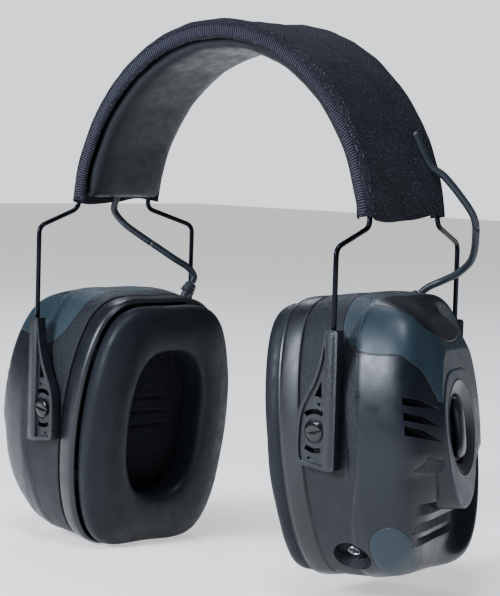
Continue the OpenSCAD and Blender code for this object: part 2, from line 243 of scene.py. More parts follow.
def lathe(name, profile, place, sides=64, axis=0, closed_ends=True):
    """Turned piece: profile is (along, radius) about the placed frame's axis 0, 1 or 2."""
    circle = [(math.cos(2 * math.pi * k / sides), math.sin(2 * math.pi * k / sides))
              for k in range(sides)]
    rings = []
    for along, radius in profile:
        ring = []
        for u, v in circle:
            p = [radius * u, radius * v]
            p.insert(axis, along)
            ring.append(place(p))
        rings.append(ring)
    return lofted(name, rings, closed_ends)


def prism(name, points, low, high, place, normal):
    """Straight solid over a polygon of two coordinates, along the coordinate `normal`."""
    verts = []
    for h in (low, high):
        for p in points:
            q = list(p)
            q.insert(normal, h)
            verts.append(place(q))
    n = len(points)
    faces = [tuple(range(n))[::-1], tuple(range(n, 2 * n))]
    faces += [(k, (k + 1) % n, n + (k + 1) % n, n + k) for k in range(n)]
    return new_object(name, verts, faces, smooth=False)


def bmesh_object(name, bm):
    mesh = bpy.data.meshes.new(name)
    bm.to_mesh(mesh)
    bm.free()
    return add_object(name, mesh)


def solid(name, corners, place):
    """Closed convex solid over listed corner points."""
    bm = bmesh.new()
    for p in corners:
        bm.verts.new(place(p))
    bmesh.ops.convex_hull(bm, input=bm.verts)
    loose = [v for v in bm.verts if not v.link_faces]
    bmesh.ops.delete(bm, geom=loose, context="VERTS")
    return bmesh_object(name, bm)


def apply_modifiers(obj):
    graph = bpy.context.evaluated_depsgraph_get()
    graph.update()
    done = bpy.data.meshes.new_from_object(obj.evaluated_get(graph))
    old = obj.data
    obj.modifiers.clear()
    obj.data = done
    bpy.data.meshes.remove(old)


def boolean(obj, tools, operation="DIFFERENCE"):
    """Cut the tools out of obj, or add them to it, and remove them."""
    for tool in tools:
        mod = obj.modifiers.new("cut", "BOOLEAN")
        mod.operation = operation
        mod.solver = "EXACT"
        mod.object = tool
    apply_modifiers(obj)
    for tool in tools:
        bpy.data.objects.remove(tool)


def join(name, objects):
    """One object out of several, in place."""
    bm = bmesh.new()
    for obj in objects:
        part = obj.data.copy()
        part.transform(obj.matrix_world)
        bm.from_mesh(part)
        bpy.data.meshes.remove(part)
        bpy.data.objects.remove(obj)
    return bmesh_object(name, bm)


def bevel(obj, width, segments, angle):
    mod = obj.modifiers.new("edge", "BEVEL")
    mod.width = width * MM
    mod.segments = segments
    mod.limit_method = "ANGLE"
    mod.angle_limit = math.radians(angle)
    apply_modifiers(obj)


def shade(obj, angle):
    """Smooth shading, with edges sharper than angle left sharp."""
    def mark(bm):
        for f in bm.faces:
            f.smooth = True
        for e in bm.edges:
            e.smooth = len(e.link_faces) == 2 and e.calc_face_angle(0) < math.radians(angle)
    edit_mesh(obj.data, mark)


def clean(obj, reach=0.00001):
    """Merge points closer than reach, in metres, and drop the faces that this leaves flat."""
    def merge(bm):
        bmesh.ops.remove_doubles(bm, verts=bm.verts, dist=reach)
        bmesh.ops.dissolve_degenerate(bm, edges=bm.edges, dist=reach)
    edit_mesh(obj.data, merge)


def finish_piece(obj, body, material, node=None):
    """Dress the piece, fix it to its body, and let it stand for a CAD node."""
    obj.data.materials.clear()
    obj.data.materials.append(MATS[material])
    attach(obj, body)
    if node:
        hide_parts(node)


# ---------------------------------------------------------------- materials
class Finish:
    """A material under construction: short names for the nodes that every finish needs."""

    def __init__(self, name, colour, rough, metal=0.0, specular=0.5):
        self.mat = bpy.data.materials.new(name)
        self.mat.use_nodes = True
        self.tree = self.mat.node_tree
        self.bsdf = self.tree.nodes["Principled BSDF"]
        self.bsdf.inputs["Base Color"].default_value = (*colour, 1)
        self.bsdf.inputs["Roughness"].default_value = rough
        self.bsdf.inputs["Metallic"].default_value = metal
        self.bsdf.inputs["Specular IOR Level"].default_value = specular
        self.where = self.node("TexCoord").outputs["Object"]
        self.height = None

    def node(self, kind):
        return self.tree.nodes.new("ShaderNode" + kind)

    def link(self, source, target):
        self.tree.links.new(source, target)

    def put(self, socket, value):
        if isinstance(value, bpy.types.NodeSocket):
            self.link(value, socket)
        else:
            socket.default_value = value

    def math(self, kind, a, b=0.0):
        node = self.node("Math")
        node.operation = kind
        self.put(node.inputs[0], a)
        self.put(node.inputs[1], b)
        return node.outputs[0]

    def noise(self, scale, detail=2.0, where=None):
        node = self.node("TexNoise")
        node.inputs["Scale"].default_value = scale
        node.inputs["Detail"].default_value = detail
        self.link(where or self.where, node.inputs["Vector"])
        return node.outputs["Fac"]

    def cells(self, scale):
        node = self.node("TexVoronoi")
        node.inputs["Scale"].default_value = scale
        self.link(self.where, node.inputs["Vector"])
        return node.outputs["Distance"]

    def ramp(self, value, low, high, to_low=0.0, to_high=1.0):
        node = self.node("MapRange")
        node.interpolation_type = "SMOOTHSTEP"
        self.put(node.inputs["Value"], value)
        for key, number in (("From Min", low), ("From Max", high), ("To Min", to_low),
                            ("To Max", to_high)):
            node.inputs[key].default_value = number
        return node.outputs[0]

    def mix(self, factor, a, b):
        node = self.node("Mix")
        node.data_type = "RGBA"
        self.put(node.inputs["Factor"], factor)
        for socket, value in ((node.inputs[6], a), (node.inputs[7], b)):
            self.put(socket, (*value, 1) if isinstance(value, tuple) else value)
        return node.outputs[2]

    def attribute(self, name, output="Fac"):
        node = self.node("Attribute")
        node.attribute_name = name
        return node.outputs[output]

    def edges(self):
        return self.node("NewGeometry").outputs["Pointiness"]

    def colour(self, value):
        self.put(self.bsdf.inputs["Base Color"], value)

    def rough(self, value):
        self.put(self.bsdf.inputs["Roughness"], value)

    def bump(self, height, depth):
        """Relief of depth millimetres for a height of 0 to 1; several may be laid in turn."""
        node = self.node("Bump")
        node.inputs["Distance"].default_value = depth * MM
        self.link(height, node.inputs["Height"])
        if self.height:
            self.link(self.height, node.inputs["Normal"])
        self.height = node.outputs[0]
        self.link(self.height, self.bsdf.inputs["Normal"])

    def sheen(self, weight, rough, tint):
        self.bsdf.inputs["Sheen Weight"].default_value = weight
        self.bsdf.inputs["Sheen Roughness"].default_value = rough
        self.bsdf.inputs["Sheen Tint"].default_value = (*tint, 1)


def hexa(code):
    """A colour written as an sRGB hex string, as linear numbers."""
    parts = [int(code[k:k + 2], 16) / 255 for k in (0, 2, 4)]
    return tuple(q / 12.92 if q <= 0.04045 else ((q + 0.055) / 1.055) ** 2.4 for q in parts)


def lighter(colour, k):
    return tuple(min(1.0, q * k) for q in colour)


def moulded(name, colour, rough, grain=1400, depth=0.02, edge_tint=1.35, specular=0.5):
    """Moulded plastic: a fine spark-eroded grain, faint flow marks and edges painted paler where
    sharply curved.
    """
    f = Finish(name, colour, rough, specular=specular)
    flow = f.noise(45, 3)
    base = f.mix(f.ramp(flow, 0.35, 0.7), lighter(colour, 0.86), lighter(colour, 1.12))
    # the colour is painted paler on sharply curved edges, by the last factor given
    f.colour(f.mix(f.ramp(f.edges(), 0.52, 0.6, 0, 0.55), base, lighter(colour, edge_tint)))
    f.rough(f.ramp(f.noise(130, 3), 0.3, 0.7, rough - 0.06, rough + 0.07))
    f.bump(f.noise(grain, 2), depth)
    return f.mat


def metal(name, colour, rough, brushed=(1, 1, 12)):
    f = Finish(name, colour, rough, metal=1.0)
    mapping = f.node("Mapping")
    mapping.inputs["Scale"].default_value = brushed
    f.link(f.where, mapping.inputs["Vector"])
    streak = f.noise(900, 2, mapping.outputs[0])
    f.colour(f.mix(streak, lighter(colour, 0.75), lighter(colour, 1.15)))
    f.rough(f.ramp(streak, 0.3, 0.7, rough - 0.07, rough + 0.1))
    f.bump(streak, 0.01)
    return f.mat


def shell_finish():
    """Two-shot shell: grey-teal panels, satin black panels and a stippled black band."""
    teal, black, band = hexa("1f2d36"), hexa("0e121b"), hexa("0b0f17")
    f = Finish("shell_plastic", black, 0.4, specular=0.36)
    edge = f.attribute("teal_edge")
    inside = f.ramp(edge, -0.06, 0.06)
    panel = f.ramp(f.attribute("panel_edge"), -0.4, 0.4)
    drift = f.ramp(f.noise(38, 3), 0.3, 0.7)
    teal_tone = f.mix(drift, lighter(teal, 0.93), lighter(teal, 1.06))
    dark_tone = f.mix(panel, lighter(band, 0.95), black)
    tone = f.mix(inside, dark_tone, teal_tone)
    seam = f.ramp(f.math("ABSOLUTE", edge), 0.12, 0.42)
    tone = f.mix(seam, lighter(black, 0.45), tone)
    f.colour(f.mix(f.ramp(f.edges(), 0.53, 0.62, 0, 0.4), tone, lighter(teal, 1.5)))
    speck = f.ramp(f.noise(150, 3), 0.3, 0.7, -0.04, 0.05)
    base_rough = f.ramp(panel, 0, 1, 0.5, 0.31)
    both = f.node("Mix")
    f.put(both.inputs["Factor"], inside)
    f.put(both.inputs["A"], base_rough)
    both.inputs["B"].default_value = 0.42
    f.rough(f.math("ADD", both.outputs["Result"], speck))
    stipple = f.math("MULTIPLY", f.noise(1500, 2), f.ramp(panel, 0, 1, 1.0, 0.05))
    f.bump(stipple, 0.42)
    f.bump(seam, 0.22)
    return f.mat


YARN_PITCH = 0.62  # millimetres


def fabric_finish():
    """Plain weave of dark yarn with lighter flecks, laid along the band."""
    yarn, fleck = hexa("15151c"), hexa("6a6e7c")
    f = Finish("sleeve_fabric", yarn, 0.85, specular=0.12)
    flat = f.attribute("flat", "Vector")
    split = f.node("SeparateXYZ")
    f.link(flat, split.inputs[0])
    pitch = 2 * math.pi / YARN_PITCH
    warp = f.math("SINE", f.math("MULTIPLY", split.outputs[0], pitch))
    weft = f.math("SINE", f.math("MULTIPLY", split.outputs[1], pitch))
    weave = f.ramp(f.math("MULTIPLY", warp, weft), -1, 1)
    hair = f.noise(2.2, 4, flat)
    flecks = f.ramp(f.noise(1.3, 1, flat), 0.6, 0.7)
    tone = f.mix(f.math("MULTIPLY", weave, 0.55), lighter(yarn, 0.6), lighter(yarn, 1.35))
    tone = f.mix(f.math("MULTIPLY", flecks, 0.5), tone, fleck)
    f.colour(f.mix(f.ramp(f.noise(0.06, 3, flat), 0.3, 0.75, 0, 0.12), tone, lighter(fleck, 0.4)))
    f.rough(f.ramp(hair, 0.3, 0.7, 0.78, 0.95))
    f.bump(weave, 0.16)
    f.bump(hair, 0.1)
    f.sheen(0.05, 0.5, (0.75, 0.78, 0.9))
    return f.mat


def vinyl_finish(name, colour, rough, grain, sheen):
    """Soft vinyl: small leather-like cells, broad softness and a dull sheen."""
    f = Finish(name, colour, rough, specular=0.22)
    cell = f.cells(grain)
    broad = f.noise(60, 3)
    f.colour(f.mix(f.ramp(broad, 0.3, 0.7), lighter(colour, 0.85), lighter(colour, 1.15)))
    f.rough(f.ramp(f.noise(220, 3), 0.3, 0.7, rough - 0.07, rough + 0.08))
    f.bump(cell, 0.05)
    f.bump(broad, 0.25)
    f.sheen(sheen, 0.45, (0.8, 0.85, 0.95))
    return f.mat


def foam_finish():
    colour = hexa("0e1014")
    f = Finish("foam", colour, 0.95, specular=0.2)
    pores = f.cells(520)
    specks = f.ramp(f.cells(330), 0.02, 0.12, 1.0, 0.0)
    tone = f.mix(f.ramp(pores, 0.05, 0.5), lighter(colour, 0.35), lighter(colour, 1.25))
    f.colour(f.mix(f.math("MULTIPLY", specks, 0.5), tone, hexa("59606c")))
    f.bump(pores, 0.5)
    return f.mat


def thread_finish(name, colour):
    f = Finish(name, colour, 0.75, specular=0.15)
    twist = f.noise(2600, 1)
    f.colour(f.mix(twist, lighter(colour, 0.55), lighter(colour, 1.3)))
    f.bump(twist, 0.06)
    f.sheen(0.08, 0.5, (0.85, 0.85, 0.95))
    return f.mat


MATS = {
    "shell": shell_finish(),
    "teal": moulded("shell_plastic_teal", hexa("1f2d36"), 0.42, 1400, 0.02, 1.4),
    "fabric": fabric_finish(),
    "thread": thread_finish("sleeve_thread", hexa("3d3c49")),
    "pad": vinyl_finish("pad_cover", hexa("15171d"), 0.45, grain=1500, sheen=0.03),
    "cushion": vinyl_finish("cushion_cover", hexa("14171d"), 0.5, grain=1300, sheen=0.02),
    "foam": foam_finish(),
    "wire": metal("wire_steel", hexa("1e2026"), 0.3, (0.25, 0.25, 0.05)),
    "cable": moulded("cable_jacket", hexa("222a33"), 0.45, 900, 0.004, 1.1),
    "arm": moulded("arm_plastic", hexa("0f131a"), 0.33, 1500, 0.25, 1.8),
    "ring": moulded("ring_plastic", hexa("101318"), 0.36, 1500, 0.02),
    "core": moulded("core_plastic", hexa("17181b"), 0.55),
    "baffle": moulded("baffle_plastic", hexa("15171a"), 0.6),
    "pin": moulded("pin_plastic", hexa("0c0e11"), 0.2, 700, 0.006, 2.0),
    "dish": moulded("ring_plastic_dish", hexa("181c21"), 0.34, 1500, 0.012),
    "knob": moulded("knob_plastic", hexa("14171c"), 0.32, 1500, 0.012, 1.4),
    "boot": moulded("boot_rubber", hexa("2a3038"), 0.5, 900, 0.02, 1.2),
    "speaker": moulded("speaker_body", hexa("2c2f33"), 0.5),
    "board": moulded("board", hexa("1f5a3a"), 0.45, 2000, 0.01),
    "cell": moulded("cell_jacket", hexa("7a8087"), 0.3, 600, 0.005),
    "screw": metal("screw_steel", hexa("9a9ea4"), 0.3),
    "can": metal("microphone_can", hexa("b9bcc0"), 0.28),
    "contact": metal("contact_metal", hexa("c8b26a"), 0.3),
    "pot": metal("pot_metal", hexa("8b8f94"), 0.35),
    "jack": metal("jack_metal", hexa("b8bbbf"), 0.25, (0.2, 0.2, 0.2)),
}


# ---------------------------------------------------------------- signal cables
LEFT_ROUTE = ((-85.2, 0, 162.5), (-86, 0, 158.5), (-87, 0, 153), (-83, 3, 147),
              (-78, 10, 141), (-73, 16, 136), (-68, 22, 131), (-65, 28, 127), (-64, 31, 123),
              (-64, 30, 120))
RIGHT_ROUTE = ((80, 14, 193), (86, 17, 180), (91, 21, 175), (96, 26, 167), (99, 32, 158),
               (98, 35, 149), (94, 38, 140), (86, 40, 134), (77, 41, 130), (71, 39, 127),
               (68, 37, 124))
CABLE_STEPS = 6
ROUND = 20  # sides of a cable or wire


def make_lead(side, route):
    """One lead in two runs: headband to arms, then arms to cup."""
    word = SIDE_NAME[side]
    path = catmull([Vector(p) * MM for p in route], CABLE_STEPS)
    steps = [(path[i + 1] - path[i]).length for i in range(len(path) - 1)]
    cut = next(i for i in range(len(path)) if sum(steps[:i]) >= sum(steps) / 2)
    runs = ((path[:cut + 1], "upper", "headband", word + "_arms"),
            (path[cut:], "lower", word + "_arms", word + "_cup"))
    for run, label, first, second in runs:
        obj = lofted("%s_lead_%s" % (word, label), tube_rings(run, CABLE_D / 2 * MM, ROUND))
        obj.data.materials.append(MATS["cable"])
        tuple(run[2])
        tuple(run[-3])
        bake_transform(obj)
        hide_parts(word + "_cable")
        tuple(run[0])
        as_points(run)


make_lead(LEFT, LEFT_ROUTE)
make_lead(RIGHT, RIGHT_ROUTE)


# ---------------------------------------------------------------- spring wires
def rounded_path(points, radius, steps=8):
    """Polyline with its corners turned into arcs of about that radius."""
    pts = [Vector(p) for p in points]
    out = [pts[0]]
    for i in range(1, len(pts) - 1):
        before, after = pts[i - 1] - pts[i], pts[i + 1] - pts[i]
        reach = min(radius, before.length * 0.45, after.length * 0.45)
        a, b = pts[i] + before.normalized() * reach, pts[i] + after.normalized() * reach
        for k in range(steps + 1):
            t = k / steps
            out.append(a * (1 - t) ** 2 + pts[i] * 2 * t * (1 - t) + b * t * t)
    out.append(pts[-1])
    return out


def arch_point(r, y, angle):
    t = math.radians(angle)
    return Vector((r * math.cos(t), y, ARCH_Z + r * math.sin(t)))


def leg_foot(side, way, z):
    x = LEG_X * math.cos(YAW) - way * LEG_Y * math.sin(YAW)
    y = LEG_X * math.sin(YAW) + way * LEG_Y * math.cos(YAW)
    return Vector((side * (PIVOT_X + x), y, z))


def make_wire(way):
    ends = {}
    for side in (LEFT, RIGHT):
        low = PIVOT_Z[side] + ARM_UP - GRIP[side]
        start = EXIT_ANGLE if side == RIGHT else 180 - EXIT_ANGLE
        ends[side] = [leg_foot(side, way, low), leg_foot(side, way, BEND_Z),
                      arch_point(ARCH_R, way * WIRE_Y, start)]
    arch = [arch_point(ARCH_R, way * WIRE_Y, 175 - k * 5) for k in range(1, 34)]
    path = rounded_path(ends[LEFT] + arch + ends[RIGHT][::-1], 3.5, 6)
    name = WAY_NAME[way] + "_wire"
    obj = lofted(name, tube_rings([p * MM for p in path], WIRE_R * MM, ROUND,
                                  Vector((0, 1, 0.2))))
    finish_piece(obj, "headband", "wire", "headband_" + name)


make_wire(FRONT)
make_wire(REAR)


# ---------------------------------------------------------------- headband sleeve
SLEEVE_HALF = 24.4
SLEEVE_OUT, SLEEVE_LOW = 91.3, 83.2
SLEEVE_END, SLEEVE_STEPS, SLEEVE_SHEET = 4.3 + 1.7, 150, (0.256, 0.067)
CLOTH = 0.9


def sleeve_end(edge_share, side):
    """Angle at which the fabric ends; edge_share runs from -1 at the front to 1 at the rear."""
    sag = 0.9 * math.cos(math.pi * 0.7 * (edge_share + 0.45)) + 0.12 * math.sin(edge_share * 8)
    sag -= 0.9 * smoothstep(-0.9, -1.0, edge_share)
    sag += 0.5 * smoothstep(0.75, 1.0, edge_share) * (1 if side == RIGHT else 0.6)
    angle = SLEEVE_END - sag
    return angle if side == RIGHT else 180 - angle


def sleeve_section():
    """(y, r) round the folded fabric: inner lip, front fold, crown, rear fold, inner lip."""
    half, out, low, turn = SLEEVE_HALF, SLEEVE_OUT, SLEEVE_LOW, 2.6
    fold = [(-half + 1.2, low), (-half + 0.5, low - 0.3), (-half, low + 0.4)]
    for k in range(7):
        t = math.radians(180 - 15 * k)
        fold.append((-half + turn + turn * math.cos(t), out - turn + turn * math.sin(t)))
    steps = 30
    crown = [(-half + turn + (2 * half - 2 * turn) * k / steps, out) for k in range(1, steps)]
    return fold + crown + [(-y, r) for y, r in reversed(fold)]


def sleeve_puff(y, r, angle):
    """Fabric stands over the two wires and dips between them; the cable shows as a low ridge."""
    lift = 0.0
    if r > SLEEVE_OUT - 0.4:
        for wire in (-WIRE_Y, WIRE_Y):
            lift += 0.35 * math.exp(-((y - wire) / 1.9) ** 2)
        lift -= 0.55 * math.cos(y / SLEEVE_HALF * math.pi / 2) ** 2
        ridge = math.exp(-(y / 2.0) ** 2)
        lift += 0.7 * ridge * smoothstep(24, 40, angle)
    crease = noise.noise(Vector((y * 0.11, angle * 0.16, 3.1)))
    fine = noise.noise(Vector((y * 0.5, angle * 0.55, 8.7)))
    return lift + 0.45 * crease + 0.12 * fine


def make_sleeve():
    section = sleeve_section()
    rings, flats = [], []
    run = [0.0]
    for i in range(1, len(section)):
        run.append(run[-1] + math.dist(section[i], section[i - 1]))
    for i in range(SLEEVE_STEPS + 1):
        share = i / SLEEVE_STEPS
        ring = []
        for j, (y, r) in enumerate(section):
            edge = y / SLEEVE_HALF
            low, high = sleeve_end(edge, RIGHT), sleeve_end(edge, LEFT)
            angle = low + (high - low) * share
            near_end = max(smoothstep(0.05, 0, share), smoothstep(0.95, 1, share))
            grow = sleeve_puff(y, r, angle) - 0.3 * near_end * (1 - abs(edge))
            ring.append(arch_point(r + grow, y, angle) * MM)
            flats.append((math.radians(angle) * ARCH_R, run[j], 0))
        rings.append(ring)
    verts, faces = loft(rings, closed=False, caps=False)
    obj = new_object("sleeve_fabric_cover", verts, faces, flats=flats)
    mod = obj.modifiers.new("cloth", "SOLIDIFY")
    mod.thickness = CLOTH * MM
    mod.offset = -1
    mod.use_even_offset = False
    apply_modifiers(obj)
    finish_piece(obj, "headband", "fabric", "headband_sleeve")


STITCH_PITCH = 1.15
STITCH = ((84.0, 0.25, 0), (85.4, 0.5, 0.25), (87.0, 0.55, 0.4), (88.4, 0.5, 0.5))
TO_DEGREES = 57.3 / ARCH_R  # millimetres along the arch to degrees


def make_stitches():
    """Overlock stitches over both flanges, each a short thread of (radius, out, slant) points."""
    verts, faces = [], []
    for way in (FRONT, REAR):
        angle = sleeve_end(way, RIGHT) + 1.0
        top = sleeve_end(way, LEFT) - 1.0
        index = 0
        while angle < top:
            wobble = noise.noise(Vector((index * 0.7, way, 1.3)))
            y = way * (SLEEVE_HALF + 0.05)
            path = []
            for r, out, slant in STITCH:
                turn = angle + slant * 0.45 * TO_DEGREES
                path.append(arch_point(r + wobble * 0.35, y + way * (out - 0.25), turn) * MM)
            rings = tube_rings(path, [0.2 * MM, 0.34 * MM, 0.34 * MM, 0.2 * MM], 6,
                               Vector((0.2, 0.1, 1)))
            v, f = loft(rings)
            first = len(verts)
            verts += v
            faces += [tuple(first + q for q in face) for face in f]
            angle += STITCH_PITCH * TO_DEGREES
            index += 1
    obj = new_object("sleeve_stitching", verts, faces)
    finish_piece(obj, "headband", "thread")


make_sleeve()
make_stitches()


# ---------------------------------------------------------------- head pad
PAD_HALF, PAD_TOP, PAD_DEEP = 21.8, 86.2, 8.6
PAD_ENDS, PAD_STEPS, PAD_QUILTS = (8.3, 171.7), 120, 9


def make_pad():
    """A padded strip: flat against its core, crowned underneath, pulled in at its side seams."""
    rings, section = [], []
    for k in range(40):
        t = 2 * math.pi * k / 40
        u, v = math.cos(t), math.sin(t)
        section.append((math.copysign(abs(u) ** 0.55, u), math.copysign(abs(v) ** 0.75, v)))
    middle = PAD_TOP - PAD_DEEP * 0.5
    for i in range(PAD_STEPS + 1):
        share = i / PAD_STEPS
        angle = PAD_ENDS[0] + (PAD_ENDS[1] - PAD_ENDS[0]) * share
        near = min(share, 1 - share)
        close = math.sqrt(max(0.0, 1 - (1 - min(1.0, near / 0.035)) ** 2))
        quilt = 0.5 + 0.5 * math.cos(2 * math.pi * share * PAD_QUILTS)
        half = PAD_HALF * (0.94 + 0.06 * close) - 0.25 * quilt
        ring = []
        for su, sv in section:
            soft = 0.55 * quilt ** 2 * (0.5 - 0.5 * sv) * (1 - abs(su) ** 4)
            pucker = 0.16 * noise.noise(Vector((su * 3, sv * 3, share * 60)))
            r = middle + PAD_DEEP * 0.5 * sv * (0.35 + 0.65 * close)
            ring.append(arch_point(r + soft + pucker, su * half, angle) * MM)
        rings.append(ring)
    obj = lofted("head_pad_cover", rings)
    finish_piece(obj, "headband", "pad", "headband_pad")


make_pad()


# ---------------------------------------------------------------- cup outline and shell form
CAGE = ((0, 53), (34.5, 58.5), (47.6, -2.5), (36.5, -68), (0, -59.5), (-36.5, -68),
        (-47.6, -2.5), (-34.5, 58.5))
OUTLINE_STEPS = 26


def closed_spline(points, steps):
    """Uniform cubic B-spline round a control cage."""
    pts = [Vector(p) for p in points]
    n = len(pts)
    out = []
    for i in range(n):
        a, b, c, d = (pts[(i + k) % n] for k in range(4))
        for k in range(steps):
            t = k / steps
            out.append(((1 - t) ** 3 * a + (3 * t ** 3 - 6 * t * t + 4) * b
                        + (-3 * t ** 3 + 3 * t * t + 3 * t + 1) * c + t ** 3 * d) / 6)
    return out


def directions(ring):
    """Unit direction along a closed ring at each of its points."""
    return [(ring[(k + 1) % len(ring)] - ring[k - 1]).normalized() for k in range(len(ring))]


CUP_CURVE = closed_spline(CAGE, OUTLINE_STEPS)
CUP_IN = [Vector((way[1], -way[0])) for way in directions(CUP_CURVE)]
RAMP_ROW = {FRONT: min(range(len(CUP_CURVE)), key=lambda k: CUP_CURVE[k][0]),
            REAR: max(range(len(CUP_CURVE)), key=lambda k: CUP_CURVE[k][0])}


def outline(d):
    return [p + d * n for p, n in zip(CUP_CURVE, CUP_IN)]


# straight stations (a, inset, top lowered by, foot raised by)
SIDE_STATIONS = ((-9.5, 2.4, 0, 0), (-9.4, 1.7, 0, 0), (-8.8, 1.35, 0, 0), (-4, 0.9, 0.2, 0),
                 (4, 0.3, 0.9, 0.2), (12, 0, 2.2, 1.0), (20, 0.2, 4.3, 2.6))
# turned stations (x on the face, inset, height scale, lift)
FACE_STATIONS = ((-13, 5, 0.882, 1.4), (-5, 11.5, 0.772, 4.8), (0, 16, 0.612, 4.6))
FACE_SHIFT = 4.2
PROFILE_STEPS, FACE_RINGS, FACE_RUN = 7, 34, 27
PANEL_FROM = ((60, 27), (31, 29), (-4, 29), (-20, 26.5), (-36.5, 20.5), (-70, 14))


def polyline_at(table, x):
    """Value at x of a falling table of (x, value) rows."""
    for (x0, v0), (x1, v1) in zip(table, table[1:]):
        if x >= x1:
            return v0 + (v1 - v0) * (x0 - x) / (x0 - x1)
    return table[-1][1]


def signed_inside(polygon, p):
    """Distance from p to the polygon's edge, positive inside it."""
    best, inside = 1e9, False
    x, y = p
    for (x0, y0), (x1, y1) in zip(polygon, polygon[1:] + polygon[:1]):
        dx, dy = x1 - x0, y1 - y0
        t = min(1, max(0, ((x - x0) * dx + (y - y0) * dy) / (dx * dx + dy * dy)))
        best = min(best, math.hypot(x - x0 - t * dx, y - y0 - t * dy))
        if (y0 > y) != (y1 > y) and x < dx * (y - y0) / dy + x0:
            inside = not inside
    return best if inside else -best


def soft_polygon(points):
    return [tuple(p) for p in catmull(points, 5, closed=True)]


def teal_zones(side):
    """Teal areas over (run from the seam, height), the same on the front and the rear."""
    start = 19.5 if side == RIGHT else 9.0
    low = 30 if side == RIGHT else 28
    top = [(start, 75), (start, 60), (start, 48), (start + 1, 40), (start + 4, low + 5.5),
           (start + 11, low), (41, 28.3), (48.8, 27.6), (53.4, 24.5), (59.1, 20.5),
           (63.6, 13), (66, 9), (70, 8), (130, 8), (130, 75)]
    bottom = [(24.5, -75), (25, -56), (26.5, -46), (30.5, -41.2), (38, -39.4), (44, -40.6),
              (48.5, -45), (50.8, -52), (50.5, -75)]
    return [soft_polygon(top), soft_polygon(bottom)]


BLACK_PATCH = soft_polygon([(-24.5, 54), (-24.5, 44), (-20.5, 36.3), (-11.3, 32), (-2, 31),
                            (8, 32.3), (18, 36.5), (23, 44), (23, 56), (0, 58), (-22, 57)])
PATCH_FROM = 29


def shell_point(index, t):
    """Point of the smooth shell form: index round the outline, t along the stations."""
    def station(i):
        i = max(0, min(len(SIDE_STATIONS) + len(FACE_STATIONS) - 1, i))
        if i < len(SIDE_STATIONS):
            a, d, top, foot = SIDE_STATIONS[i]
            q = CUP_CURVE[index] + d * CUP_IN[index]
            high = q[1] * (1 - top / 55) if q[1] > 0 else q[1] * (1 - foot / 62)
            return Vector((a, q[0], high))
        x, d, k, up = FACE_STATIONS[i - len(SIDE_STATIONS)]
        q = CUP_CURVE[index] + d * CUP_IN[index]
        return on_face((x, q[0] + FACE_SHIFT, k * q[1] + up - FACE_AT.z))
    i = int(math.floor(t))
    f = t - i
    a, b, c, d = station(i - 1), station(i), station(i + 1), station(i + 2)
    return 0.5 * (2 * b + (c - a) * f + (2 * a - 5 * b + 4 * c - d) * f ** 2
                  + (3 * b - a - 3 * c + d) * f ** 3)


STEP_TOP, STEP_LOW, STEP_DEEP = -13.5, -19.5, 4.4
# under the arms the shell stays this near its middle; then where that starts and is full,
# outward and upward
ARM_CLEAR, ARM_OUTWARD, ARM_UPWARD = 42.0, (14.5, 11), (31, 28.5)


def face_relief(p, share):
    """How far the face steps back along its normal; share is 1 on the face, 0 on the sides."""
    return min(1.0, max(0.0, (STEP_TOP - p.z) / (STEP_TOP - STEP_LOW))) * STEP_DEEP * share


def make_shell(side):
    word = SIDE_NAME[side]
    count = len(CUP_CURVE)
    last = len(SIDE_STATIONS) + len(FACE_STATIONS) - 1
    ts = []
    for i in range(last):
        steps = 3 if i < 2 else 9 if i >= 5 else PROFILE_STEPS
        ts += [i + k / steps for k in range(steps)]
    ts.append(float(last))
    rings = [[shell_point(k, t) for k in range(count)] for t in ts]
    seam = [ring[RAMP_ROW[FRONT]] for ring in rings]
    runs = [0.0]
    for here, before in zip(seam[1:], seam):
        runs.append(runs[-1] + (here - before).length)
    base, base_run = rings[-1], runs[-1]
    centre = on_face((0, FACE_SHIFT, 0))
    for i in range(1, FACE_RINGS + 1):
        s = 1 - i / (FACE_RINGS + 0.6)
        rings.append([centre + (p - centre) * s for p in base])
        runs.append(base_run + (1 - s) * FACE_RUN)
        ts.append(last + 1.0)
    zones = teal_zones(side)
    edge, panel, relief = [], [], []
    for ring, run, t in zip(rings, runs, ts):
        share = smoothstep(len(SIDE_STATIONS) - 0.9, len(SIDE_STATIONS) + 0.5, t)
        for k, p in enumerate(ring):
            where = (run, p.z)
            reach = 21 - 9 * smoothstep(-47, -60, p.z)
            low_teal = min(signed_inside(zones[1], where), -p.y - reach)
            teal = max(signed_inside(zones[0], where), low_teal)
            teal = min(teal, -min(signed_inside(BLACK_PATCH, (p.y, p.z)), run - PATCH_FROM))
            bulge = run - polyline_at(PANEL_FROM, p.z)
            lift = 0.55 * smoothstep(-0.8, 1.4, bulge) * (1 - share)
            out = -CUP_IN[k]
            q = Vector((p.x, p.y + out[0] * lift, p.z + out[1] * lift))
            if share > 0:
                f = to_face(q)
                f.x -= face_relief(q, share)
                q = on_face(f)
            if t >= 1 and abs(q.y) > ARM_CLEAR:
                near = smoothstep(*ARM_OUTWARD, q.x) * smoothstep(*ARM_UPWARD, abs(q.z))
                q.y -= math.copysign((abs(q.y) - ARM_CLEAR) * near, q.y)
            edge.append(teal)
            panel.append(bulge)
            relief.append(q)
    verts, faces = loft([relief[i:i + count] for i in range(0, len(relief), count)])
    for values in (edge, panel):  # the two middle points that close the ends
        values += [values[0], values[-count]]
    surface = BVHTree.FromPolygons(verts, faces)
    obj = new_object(word + "_shell_cover", [in_cup(side, v) for v in verts], faces)
    add_values(obj, "teal_edge", edge)
    add_values(obj, "panel_edge", panel)
    boolean(obj, [make_wing(side, way, surface) for way in (FRONT, REAR)], "UNION")
    cut_shell(obj, side, surface)
    shade(obj, 42)
    finish_piece(obj, word + "_cup", "shell", word + "_cup_shell")


